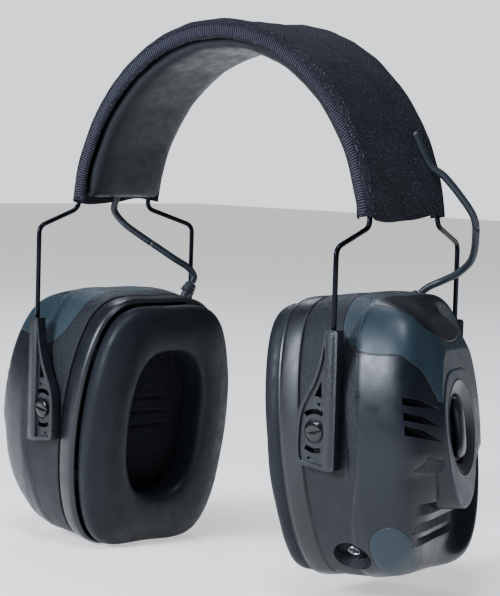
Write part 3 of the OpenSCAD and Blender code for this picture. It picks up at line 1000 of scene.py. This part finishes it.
LOUVERS = ((11.5, 8.4, 5.0), (5.6, 2.5, -1.7), (0.4, -3.4, -7.7))
LEDGES = ((-31.5, -36.0, 31), (-38.8, -43.0, 30), (-45.0, -48.5, 27))
LEDGE_DEEP = 3.4
POCKET_R = 20.05
# the block beside the face: (across, height, out of the surface, least level on the face)
WING = ((38.5, -18.2, 0.2, -40), (33, -13.2, 0.2, -40), (25, -11.8, 0.2, -40),
        (14, -11.6, 0.2, -0.6), (24, -18.7, 1.0, -0.8), (14, -18.7, 1.0, -0.4),
        (22, -20.5, 0.5, -4.0), (14, -22, 0.5, -4.0))
WING_SPREAD = {FRONT: 0.97, REAR: 0.8}


def ramp_point(share, way, c, out):
    """share runs from the face's outer edge, 0, to its flat, 1; out stands off the surface."""
    t = len(SIDE_STATIONS) - 1 + 0.98 + share * 1.75
    p = shell_point(RAMP_ROW[way], t)
    ahead = shell_point(RAMP_ROW[way], t + 0.1) - p
    normal = Vector((abs(ahead.y), way * abs(ahead.x), 0)).normalized()
    return Vector((p.x, p.y, c)) + normal * out


def louver_tool(side, way, top, low, tip):
    """A wedge: tall and deep at its outer end, tapering to a point up the ramp."""
    corners = [ramp_point(0.0, way, top, 3.0), ramp_point(0.0, way, low, 3.0),
               ramp_point(0.0, way, top, -7.5), ramp_point(0.0, way, low, -6.5),
               ramp_point(0.5, way, (top + tip) / 2 + 0.4, 3.0),
               ramp_point(1.0, way, tip, 2.0), ramp_point(1.0, way, tip, 0.0)]
    return solid("louver", corners, cup_place(side))


def face_height(surface, y, c):
    """Height of the shell's surface in the control face's frame, below the point (y, c)."""
    start = on_face((60, y, c - FACE_AT.z))
    hit = surface.ray_cast(start, (on_face((59, y, c - FACE_AT.z)) - start).normalized())[0]
    return to_face(hit).x if hit else None


def ledge_tool(side, surface, top, low, reach):
    """A long wedge cut round the lower face: a sharp upper edge and a sloping floor."""
    rings = []
    steps = 36
    for k in range(steps + 1):
        share = 2 * k / steps - 1
        y = FACE_SHIFT + reach * share
        above, below = face_height(surface, y, top), face_height(surface, y, low)
        if above is None or below is None:
            continue
        deep = LEDGE_DEEP * (1 - share ** 4)
        z0, z1 = top - FACE_AT.z, low - FACE_AT.z
        ring = ((above + 3, y, z0), (above - deep, y, z0), (below - 0.02, y, z1),
                (below + 3, y, z1))
        rings.append([in_cup(side, on_face(p)) for p in ring])
    return lofted("ledge", rings)


def make_wing(side, way, surface):
    """A block standing out of the ramp beside the control face: lit top, sharp lower edge."""
    corners = []
    spread = way * WING_SPREAD[way]
    for y, c, out, level in WING:
        height, z = face_height(surface, FACE_SHIFT + spread * y, c), c - FACE_AT.z
        corners.append((max(height + out, level), FACE_SHIFT + spread * y, z))
        corners.append((height - 5, FACE_SHIFT + spread * y * 0.94, z))
    wing = solid("wing", corners, lambda p: in_cup(side, on_face(p)))
    add_values(wing, "teal_edge", [-3.0] * len(wing.data.vertices))
    add_values(wing, "panel_edge", [5.0] * len(wing.data.vertices))
    return wing


JACK_AT, JACK_DOWN = Vector((5, -31.5, -48.5)), math.radians(48)
JACK_WAY = Vector((0, -math.cos(JACK_DOWN), -math.sin(JACK_DOWN)))


def jack_place(p):
    """Frame of the audio socket: the third coordinate runs out of its mouth."""
    across = Vector((1, 0, 0))
    up = JACK_WAY.cross(across)
    return in_cup(RIGHT, JACK_AT + across * p[0] + up * p[1] + JACK_WAY * p[2])


def cut_shell(obj, side, surface):
    """Louvers and ledges, and on the right cup the knob's pocket and the socket's scoop."""
    tools = [louver_tool(side, way, *row) for way in (FRONT, REAR) for row in LOUVERS]
    tools += [ledge_tool(side, surface, *row) for row in LEDGES]
    if side == RIGHT:
        tools.append(lathe("pocket", [(-4.0, 0.001), (-4.0, POCKET_R), (12, POCKET_R),
                                      (12, 0.001)], face_place, 96))
        bowl = [math.pi / 2 * k / 12 for k in range(13)]
        scoop = [(1.2 - 5.2 * math.cos(t), 0.01 + 6.4 * math.sin(t)) for t in bowl]
        tools.append(lathe("scoop", scoop + [(9, 8.2), (9, 0.01)],
                           lambda p: jack_place((p[0] * 1.25, p[1] * 0.92, p[2])), 48, axis=2))
    boolean(obj, tools)


for cup_side in (LEFT, RIGHT):
    make_shell(cup_side)


# ---------------------------------------------------------------- raised control face
OVAL = ((0, 24.5), (14, 22.5), (22.3, 10), (22.6, -3), (18.5, -16), (10.5, -27.5), (-1, -32),
        (-12, -29), (-19.6, -18), (-23, -4), (-22.6, 10), (-14.5, 22))
OVAL_SIDE = ((-11, 0), (-6, 0), (-1.0, 0), (0.0, 0.05), (0.35, 0.4), (0.5, 1.0))
POCKET_STEPS = ((-0.2, POCKET_R), (-3.95, POCKET_R), (-3.95, 12.0), (-3.95, 3.4))


def soft_oval(x, d):
    """Edge of the raised oval in the control face's frame, at depth x and inset by d."""
    ring = catmull([(y, z, 0) for y, z in OVAL], 10, closed=True)
    return [Vector((x, p.x + way.y * d, p.y - way.x * d))
            for p, way in zip(ring, directions(ring))]


def make_oval(side):
    word = SIDE_NAME[side]
    rings = [soft_oval(x, d) for x, d in OVAL_SIDE]
    flat = rings[-1]
    turns = [math.atan2(p.z, p.y) for p in flat]
    steps = 10
    for i in range(1, steps + 1):
        ring = []
        for p, t in zip(flat, turns):
            target = Vector((0.5, p.y * 0.04, p.z * 0.04))
            if side == RIGHT:
                target = Vector((0.5, POCKET_R * math.cos(t), POCKET_R * math.sin(t)))
            ring.append(p.lerp(target, i / steps))
        rings.append(ring)
    if side == RIGHT:
        rings += [[(x, r * math.cos(t), r * math.sin(t)) for t in turns] for x, r in POCKET_STEPS]
    verts, faces = loft([[in_cup(side, on_face(p)) for p in ring] for ring in rings])
    obj = new_object(word + "_control_face", verts, faces)
    rows = len(verts) - 2
    top = 4 * len(flat)
    add_values(obj, "teal_edge", [-0.6 if k < top else 0.7 for k in range(rows)] + [-1, -1])
    add_values(obj, "panel_edge", [5.0] * len(verts))
    shade(obj, 40)
    finish_piece(obj, word + "_cup", "shell")


for cup_side in (LEFT, RIGHT):
    make_oval(cup_side)


# ---------------------------------------------------------------- volume knob and dish
def make_dish():
    profile = [(-3.9, 20.0), (0.3, 20.0), (0.62, 19.8), (0.7, 19.4), (0.55, 19.0),
               (0.35, 18.6), (0.2, 17.6), (-0.4, 16.2), (-1.0, 14.9), (-1.15, 14.5), (-1.5, 14.2),
               (-3.9, 14.2)]
    obj = lathe("knob_surround", profile + [profile[0]], face_place, 96, closed_ends=False)
    clean(obj)
    shade(obj, 50)
    finish_piece(obj, "right_cup", "dish", "knob_dish")


def make_knob():
    disc = [(-3.4, 0.01), (-3.4, 12.6), (-3.1, 12.9), (-2.2, 12.9), (-1.9, 12.6), (-2.2, 11.2),
            (-2.6, 8.0), (-2.7, 0.01)]
    body = lathe("knob_disc", disc, face_place, 72)
    rings = []
    rows, around = 18, 28
    for i in range(rows + 1):
        u = -1 + 2 * i / rows
        z = 12.2 * u
        fade = max(0.02, 1 - abs(u) ** 6)
        half = (3.9 + 1.5 * abs(u) ** 2) * fade ** 0.3
        top = 1.7 - 0.9 * u * u
        ring = []
        for k in range(around):
            t = 2 * math.pi * k / around
            cx, cy = math.cos(t), math.sin(t)
            y = half * math.copysign(abs(cy) ** 0.8, cy)
            rise = 0.5 + 0.5 * (cx ** 0.7 if cx > 0 else cx)
            x = -3.1 + (top + 3.0) * rise * (0.3 + 0.7 * fade ** 0.4)
            ring.append(face_place((x, y, z)))
        rings.append(ring)
    bar = lofted("knob_bar", rings)
    boolean(body, [bar], "UNION")
    body.name = "volume_knob_cover"
    shade(body, 38)
    finish_piece(body, "volume_knob", "knob", "volume_knob")


make_dish()
make_knob()


# ---------------------------------------------------------------- battery door
DOOR_W, DOOR_H = 32, 56


def rounded_rectangle(width, height, radius, steps=8):
    out = []
    for sx, sz, start in ((1, 1, 0), (-1, 1, 90), (-1, -1, 180), (1, -1, 270)):
        for k in range(steps + 1):
            t = math.radians(start + 90 * k / steps)
            out.append((sx * (width / 2 - radius) + radius * math.cos(t),
                        sz * (height / 2 - radius) + radius * math.sin(t)))
    return out


def left_face(p):
    return in_cup(LEFT, on_face(p))


def make_door():
    rings = []
    for x, d in ((0.65, 0.0), (2.0, 0.0), (2.6, 0.35), (2.9, 1.1)):
        rim = rounded_rectangle(DOOR_W - 2 * d, DOOR_H - 2 * d, 8 - d)
        rings.append([left_face((x, y, z)) for y, z in rim])
    inner = rounded_rectangle(29.8, 53.8, 6.9)
    for s in (0.8, 0.6, 0.4, 0.2, 0.05):
        rings.append([left_face((2.9 + 0.5 * (1 - s * s), y * s, z * s)) for y, z in inner])
    body = lofted("door_body", rings)
    tools = []
    for k in range(5):
        z = 15 + k * 2.1
        half = 6.5 - 0.5 * k
        profile = [(z - 0.55, 4.0), (z + 0.55, 4.0), (z + 0.25, 2.7), (z - 0.25, 2.7)]
        tools.append(solid("grip", [(x, y, c) for c, x in profile for y in (-half, half)],
                           left_face))
    boolean(body, tools)
    knuckle = lathe("door_knuckle", [(-4.9, 1.1), (-4.9, 1.7), (-4.7, 1.9), (4.7, 1.9),
                                     (4.9, 1.7), (4.9, 1.1)],
                    lambda p: left_face((2.5 + p[0], p[1], -29.5 + p[2])), 32, axis=1,
                    closed_ends=False)
    link = solid("door_link", [(x, y, z) for x in (0.7, 2.6) for y in (-4.6, 4.6)
                               for z in (-28.6, -26.4)], left_face)
    obj = join("battery_door_cover", [body, knuckle, link])
    shade(obj, 35)
    finish_piece(obj, "battery_door", "teal", "battery_door")


make_door()


# ---------------------------------------------------------------- seal rings and cushions
def swept(side, sections, name):
    """Closed loft of (a, inset) sections round the cup's outline."""
    rings = [[in_cup(side, (a, p[0], p[1])) for p in outline(d)] for a, d in sections]
    obj = lofted(name, rings + [rings[0]], caps=False)
    clean(obj)
    return obj


# (share of the way round the outline, half width)
RING_TABS = ((0.06, 2.6), (0.2, 3.4), (0.33, 2.6), (0.45, 3.2), (0.58, 2.8), (0.7, 3.4),
             (0.83, 2.6), (0.94, 3.0))


def make_ring(side):
    word = SIDE_NAME[side]
    sections = ((-9.6, 7.5), (-9.6, 2.6), (-10.3, 2.2), (-10.8, 1.5), (-12, 1.1), (-18.0, 0.9),
                (-19.2, 1.0), (-19.9, 1.5), (-20.5, 1.4), (-21.0, 1.8), (-21.1, 2.3),
                (-20.8, 2.9), (-19.6, 3.3), (-18.6, 3.6), (-18.3, 4.2), (-18.3, 7.5))
    parts = [swept(side, sections, word + "_ring_body")]
    for share, half in RING_TABS:
        k = int(share * len(CUP_CURVE))
        p, q = CUP_CURVE[k], CUP_IN[k]
        way = Vector((-q[1], q[0]))
        corners = []
        for a in (-20.9, -18.2):
            for along in (-half, half):
                for deep in (2.6, 5.2):
                    spot = p + q * deep + way * along * (1 if deep < 3 else 0.8)
                    corners.append((a, spot[0], spot[1]))
        parts.append(solid("tab", corners, cup_place(side)))
    obj = join(word + "_seal_ring_cover", parts)
    shade(obj, 34)
    finish_piece(obj, word + "_cup", "ring", word + "_seal_ring")


EAR_W, EAR_H, EAR_POWER = 41.0, 68.0, 2.7


def opening(d):
    """Stadium-like ear opening, inset by d, with one point for each of the outline's."""
    out = []
    for p in CUP_CURVE:
        angle = math.atan2(p[1] + 3, p[0] * 1.18)
        c, s = math.cos(angle), math.sin(angle)
        w, h = EAR_W / 2 - d, EAR_H / 2 - d
        r = (abs(c / w) ** EAR_POWER + abs(s / h) ** EAR_POWER) ** (-1 / EAR_POWER)
        out.append(Vector((r * c, r * s - 2)))
    return out


def make_cushion(side):
    """A vinyl ring over foam: tucked at its base, bevelled outside, rolled into the opening."""
    word = SIDE_NAME[side]
    rows = [(-19.0, 5.6), (-20.2, 5.0), (-21.6, 4.1), (-23.4, 3.2), (-25.6, 2.8), (-27.6, 2.9),
            (-29.2, 3.5), (-30.4, 4.6), (-31.5, 6.4), (-32.6, 8.6), (-33.6, 10.8)]
    inner_rows = [(-34.35, 0.16), (-34.75, 0.34), (-34.9, 0.5), (-34.75, 0.66), (-34.3, 0.8),
                  (-33.4, 0.91), (-32.2, 0.975), (-30.6, 1.0)]
    wall = [(-27.5, 0.3), (-24.5, 0.2), (-21.5, 0.0), (-19.6, -0.2), (-18.6, -0.3)]
    rings = [[(a, p[0], p[1]) for p in outline(d)] for a, d in rows]
    edge, hole = outline(rows[-1][1]), opening(0)
    for a, s in inner_rows:
        rings.append([(a, p[0] * (1 - s) + q[0] * s, p[1] * (1 - s) + q[1] * s)
                      for p, q in zip(edge, hole)])
    rings += [[(a, p[0], p[1]) for p in opening(-d)] for a, d in wall]
    soft = []
    for ring in rings:
        row = []
        for a, b, c in ring:
            wave = noise.noise(Vector((b * 0.045, c * 0.045, side * 4.0 + a * 0.05)))
            fine = noise.noise(Vector((b * 0.3, c * 0.3, a * 0.3)))
            up = smoothstep(-20, -31, a)
            row.append(in_cup(side, (a + up * (0.75 * wave + 0.06 * fine) + 0.35 * up, b, c)))
        soft.append(row)
    obj = lofted(word + "_cushion_cover", soft + [soft[0]], caps=False)
    clean(obj)
    mod = obj.modifiers.new("smooth", "SUBSURF")
    mod.levels = 1
    apply_modifiers(obj)
    shade(obj, 60)
    finish_piece(obj, word + "_cup", "cushion", word + "_ear_cushion")


def make_foam(side):
    """Foam pad behind the opening, softly uneven, with three pressed grille lines."""
    word = SIDE_NAME[side]
    edge, steps = outline(8.2), 64
    rings = [[(a, p[0] * s, p[1] * s) for p in edge]
             for a, s in ((-12.0, 0.98), (-17.0, 0.98), (-17.9, 0.96))]
    for i in range(1, steps + 1):
        s = 0.96 * (1 - i / (steps + 0.5))
        ring = []
        for p in edge:
            b, c = p[0] * s, p[1] * s
            a = -18.1 - 0.5 * (1 - s) + 0.45 * noise.noise(Vector((b * 0.12, c * 0.12, side)))
            a += 0.12 * noise.noise(Vector((b * 0.9, c * 0.9, side)))
            for line in (-6.0, 0.5, 7.0):
                a += 0.9 * math.exp(-((c - line) / 0.8) ** 2) * smoothstep(13, 10, abs(b))
            ring.append((a, b, c))
        rings.append(ring)
    obj = lofted(word + "_foam_cover", [[in_cup(side, p) for p in ring] for ring in rings])
    shade(obj, 50)
    finish_piece(obj, word + "_cup", "foam", word + "_foam_liner")


for cup_side in (LEFT, RIGHT):
    make_ring(cup_side)
    make_cushion(cup_side)
    make_foam(cup_side)


# ---------------------------------------------------------------- arms and pins
ARM_Y, WEB_T, ARM_T = 42.6, 2.6, 4.8
PLATE = (ARM_Y, ARM_Y + ARM_T - 0.4)
THROUGH = (ARM_Y - 2, ARM_Y + 9)


# the wire channel's rib: (height, size)
RIB = ((-14.9, 0.55), (-14.4, 0.85), (-13.2, 1.0), (38.2, 1.0), (40.4, 0.9), (41.0, 0.62))


def arm_outline():
    """Plate outline (a, c): straight channel edge, waisted top, round cheek, pointed foot."""
    soft = catmull([(4.3, 41.0, 0), (3.2, 35, 0), (1.6, 28, 0), (-1.0, 20.6, 0),
                    (-4.4, 14.3, 0), (-7.4, 8.8, 0), (-8.5, 3, 0), (-8.8, -5, 0),
                    (-8.5, -11.5, 0)], 5)
    foot = [(-8.0, -13.2), (-6.6, -13.9), (-1, -14.4), (3.6, -15.2), (6.2, -15.5), (9.4, -15.3),
            (10.4, -14.6)]
    return [(p.x, p.y) for p in soft] + foot + [(10.4, 40.0), (9.6, 41.0)]


def arm_web():
    soft = catmull([(4.1, 34.5, 0), (2.9, 27.5, 0), (0.5, 20.3, 0), (-2.8, 14.1, 0),
                    (-5.7, 8.2, 0), (-6.8, 2.6, 0), (-7.1, -5, 0), (-6.8, -10.6, 0)], 5)
    return [(p.x, p.y) for p in soft] + [(-5.8, -12.2), (-1, -12.7), (4.4, -13.6), (4.4, 33)]


def disc(radius, centre=(0, 0), steps=40):
    return [(centre[0] + radius * math.cos(2 * math.pi * k / steps),
             centre[1] + radius * math.sin(2 * math.pi * k / steps)) for k in range(steps)]


def crescent(inner, outer, low, high, steps=10):
    angles = [math.radians(low + (high - low) * k / steps) for k in range(steps + 1)]
    return [(outer * math.cos(t), outer * math.sin(t)) for t in angles] + \
        [(inner * math.cos(t), inner * math.sin(t)) for t in reversed(angles)]


def make_arm(side, way):
    word = SIDE_NAME[side] + "_" + WAY_NAME[way]

    def plate(p):
        a, y, c = p
        return in_arm(side, (a, way * y, c))

    def slab(name, points, low, high):
        return prism(name, points, low, high, plate, normal=1)

    body = slab("plate", arm_outline(), *PLATE)
    boolean(body, [slab("web", arm_web(), ARM_Y + WEB_T + 0.7, THROUGH[1])])
    bevel(body, 0.75, 3, 40)
    boolean(body, [slab("seat", disc(5.0), ARM_Y + WEB_T + 0.1, THROUGH[1])])
    half_turn = [math.pi * k / 14 for k in range(15)]
    ridge = [(LEG_X + 2.9 * math.cos(t), ARM_Y + 2.4 + 2.55 * math.sin(t) ** 0.8)
             for t in half_turn] + [(LEG_X - 2.9, ARM_Y + 1), (LEG_X + 2.9, ARM_Y + 1)]
    rib = [[plate((LEG_X + (a - LEG_X) * k, ARM_Y + 1 + (y - ARM_Y - 1) * k, c))
            for a, y in ridge] for c, k in RIB]
    boolean(body, [lofted("rib", rib)], "UNION")
    holes = [[(2.6, 20.5), (2.8, 13.6), (-0.6, 14.2)], crescent(6.9, 8.9, 62, 128),
             crescent(6.9, 8.9, 236, 292), [(0.4, 11.2), (2.3, 11.6), (2.3, 10.0)],
             [(-3.2, -10.3), (-1.2, -10.9), (-3.0, -11.6)]]
    tools = [slab("hole", h, *THROUGH) for h in holes]
    tools.append(slab("bore", disc(2.06), *THROUGH))
    tools.append(prism("channel", disc(1.2, (LEG_X, ARM_Y + 2.4), 24), 1.6 - 15.5, 60, plate,
                       normal=2))
    boolean(body, tools)
    body.name = word + "_arm_cover"
    clean(body, 0.00002)
    shade(body, 38)
    finish_piece(body, SIDE_NAME[side] + "_arms", "arm", word + "_arm")


def make_pin(side, way):
    word = SIDE_NAME[side] + "_" + WAY_NAME[way]

    def turned(p):
        return in_cup(side, (p[0], way * p[1], p[2]))

    top = ARM_Y + 4.6
    profile = [(33.2, 0.01), (33.0, 1.6), (33.4, 2.0), (top - 2.0, 2.0), (top - 1.9, 4.05),
               (top - 0.55, 4.2), (top - 0.15, 3.9), (top + 0.05, 3.3), (top + 0.2, 0.01)]
    body = lathe("pin", profile, turned, 48, axis=1)
    slot = solid("slot", [(a, y, c) for a in (-5, 5) for y in (top - 0.8, top + 2)
                          for c in (-0.5, 0.5)], turned)
    boolean(body, [slot])
    bevel(body, 0.12, 2, 50)
    body.name = word + "_pin_cover"
    shade(body, 40)
    finish_piece(body, SIDE_NAME[side] + "_cup", "pin", word + "_pin")


for cup_side in (LEFT, RIGHT):
    for arm_way in (FRONT, REAR):
        make_arm(cup_side, arm_way)
        make_pin(cup_side, arm_way)


# ---------------------------------------------------------------- cable boots and socket
def make_boot(side):
    """A tapered rubber boot with three shallow rings, leaning the way that its cable leaves."""
    word = SIDE_NAME[side]
    at = LEFT_BOOT if side == LEFT else RIGHT_BOOT
    turn = (-30, 0) if side == LEFT else (-45, 35)
    rx, ry = math.radians(turn[0]), math.radians(turn[1])
    spin = Matrix.Rotation(ry, 3, "Y") @ Matrix.Rotation(rx, 3, "X")

    def place(p):
        return in_cup(side, at + spin @ Vector(p))

    profile = [(-1.9, 1.62), (-1.9, 2.1), (3.0, 2.1), (3.2, 3.2), (3.5, 3.45), (4.2, 3.3),
               (4.35, 3.05), (4.7, 3.05), (4.85, 3.25), (5.5, 3.05), (5.65, 2.8), (6.0, 2.8),
               (6.15, 2.95), (6.9, 2.75), (7.6, 2.6), (8.0, 2.35), (8.05, 1.64)]
    obj = lathe(word + "_boot", profile + [profile[0]], place, 40, axis=2, closed_ends=False)
    clean(obj)
    shade(obj, 45)
    finish_piece(obj, word + "_cup", "boot", word + "_strain_relief")


def make_socket():
    profile = [(-11.9, 0.01), (-11.9, 3.0), (-3, 3.0), (-2.5, 2.55), (1.6, 2.55), (1.8, 2.4),
               (1.75, 2.2), (1.2, 2.0), (-10.9, 2.0), (-10.9, 0.01)]
    obj = lathe("aux_socket", profile, jack_place, 40, axis=2)
    shade(obj, 40)
    finish_piece(obj, "right_cup", "jack", "aux_jack")
    profile = [(0.6, 1.96), (0.6, 1.65), (-8, 1.5), (-8, 0.01), (-8.6, 0.01), (-8.6, 1.96)]
    liner = lathe("aux_socket_liner", profile, jack_place, 40, axis=2)
    shade(liner, 40)
    finish_piece(liner, "right_cup", "baffle")


make_boot(LEFT)
make_boot(RIGHT)
make_socket()


# ---------------------------------------------------------------- carried-over nodes
NODE_FINISH = (("wire_keepers", "core"), ("headband_core", "core"), ("cable_band", "cable"),
               ("_seal_ring", "ring"), ("_baffle_screws", "screw"), ("_baffle", "baffle"),
               ("_speaker", "speaker"), ("_microphone", "can"), ("_circuit_board", "board"),
               ("battery_tray", "baffle"), ("batteries", "cell"), ("battery_contacts", "contact"),
               ("battery_door_pin", "screw"), ("_pin", "pin"), ("_strain_relief", "boot"),
               ("volume_shaft", "pot"), ("potentiometer", "pot"), ("aux_jack", "jack"),
               ("knob_dish", "dish"), ("volume_knob", "knob"), ("_arm", "arm"),
               ("cushion", "cushion"), ("foam", "foam"), ("shell", "shell"), ("door", "dish"))


def dress_nodes():
    for name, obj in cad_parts.items():
        for word, finish in NODE_FINISH:
            if word in name:
                obj.data.materials.clear()
                obj.data.materials.append(MATS[finish])
                break


dress_nodes()


# ---------------------------------------------------------------- floor and lights
LIGHT_COLOUR, LIGHT_AIM = (0.8, 0.89, 1), Vector((0, 0, 0.12))
SKY_LIGHT, SKY_SEEN = 0.12, 1.5


def make_floor():
    size = 4.0
    floor = prism("floor", [(-size, -size), (size, -size), (size, size), (-size, size)],
                  -0.02, 0.0, Vector, normal=2)
    f = Finish("floor", (0.86, 0.86, 0.86), 0.9, specular=0.1)
    f.bsdf.inputs["Emission Color"].default_value = (1, 1, 1, 1)
    f.bsdf.inputs["Emission Strength"].default_value = 0.65
    floor.data.materials.append(f.mat)


def make_light(name, azimuth, elevation, distance, size, power):
    data = bpy.data.lights.new(name, "AREA")
    data.shape = "DISK"
    data.size = size
    data.energy = power
    data.color = LIGHT_COLOUR
    obj = add_object(name, data)
    away = from_angles(math.radians(azimuth), math.radians(elevation))
    obj.location = away * distance + LIGHT_AIM
    obj.rotation_euler = away.to_track_quat("Z", "Y").to_euler()


def make_world():
    """An even sky: dim where it lights the object, bright where the camera looks at it."""
    world = bpy.data.worlds.new("studio")
    world.use_nodes = True
    tree = world.node_tree
    sky = tree.nodes["Background"]
    sky.inputs["Color"].default_value = (0.93, 0.965, 1, 1)
    seen = tree.nodes.new("ShaderNodeLightPath")
    level = tree.nodes.new("ShaderNodeMapRange")
    level.inputs["To Min"].default_value = SKY_LIGHT
    level.inputs["To Max"].default_value = SKY_SEEN
    tree.links.new(seen.outputs["Is Camera Ray"], level.inputs["Value"])
    tree.links.new(level.outputs[0], sky.inputs["Strength"])
    bpy.context.scene.world = world


make_floor()
make_world()
make_light("key", -12, 24, 1.2, 0.42, 20)
make_light("top", 30, 70, 1.2, 0.5, 12)
make_light("rim", -125, 45, 1.4, 0.5, 6)
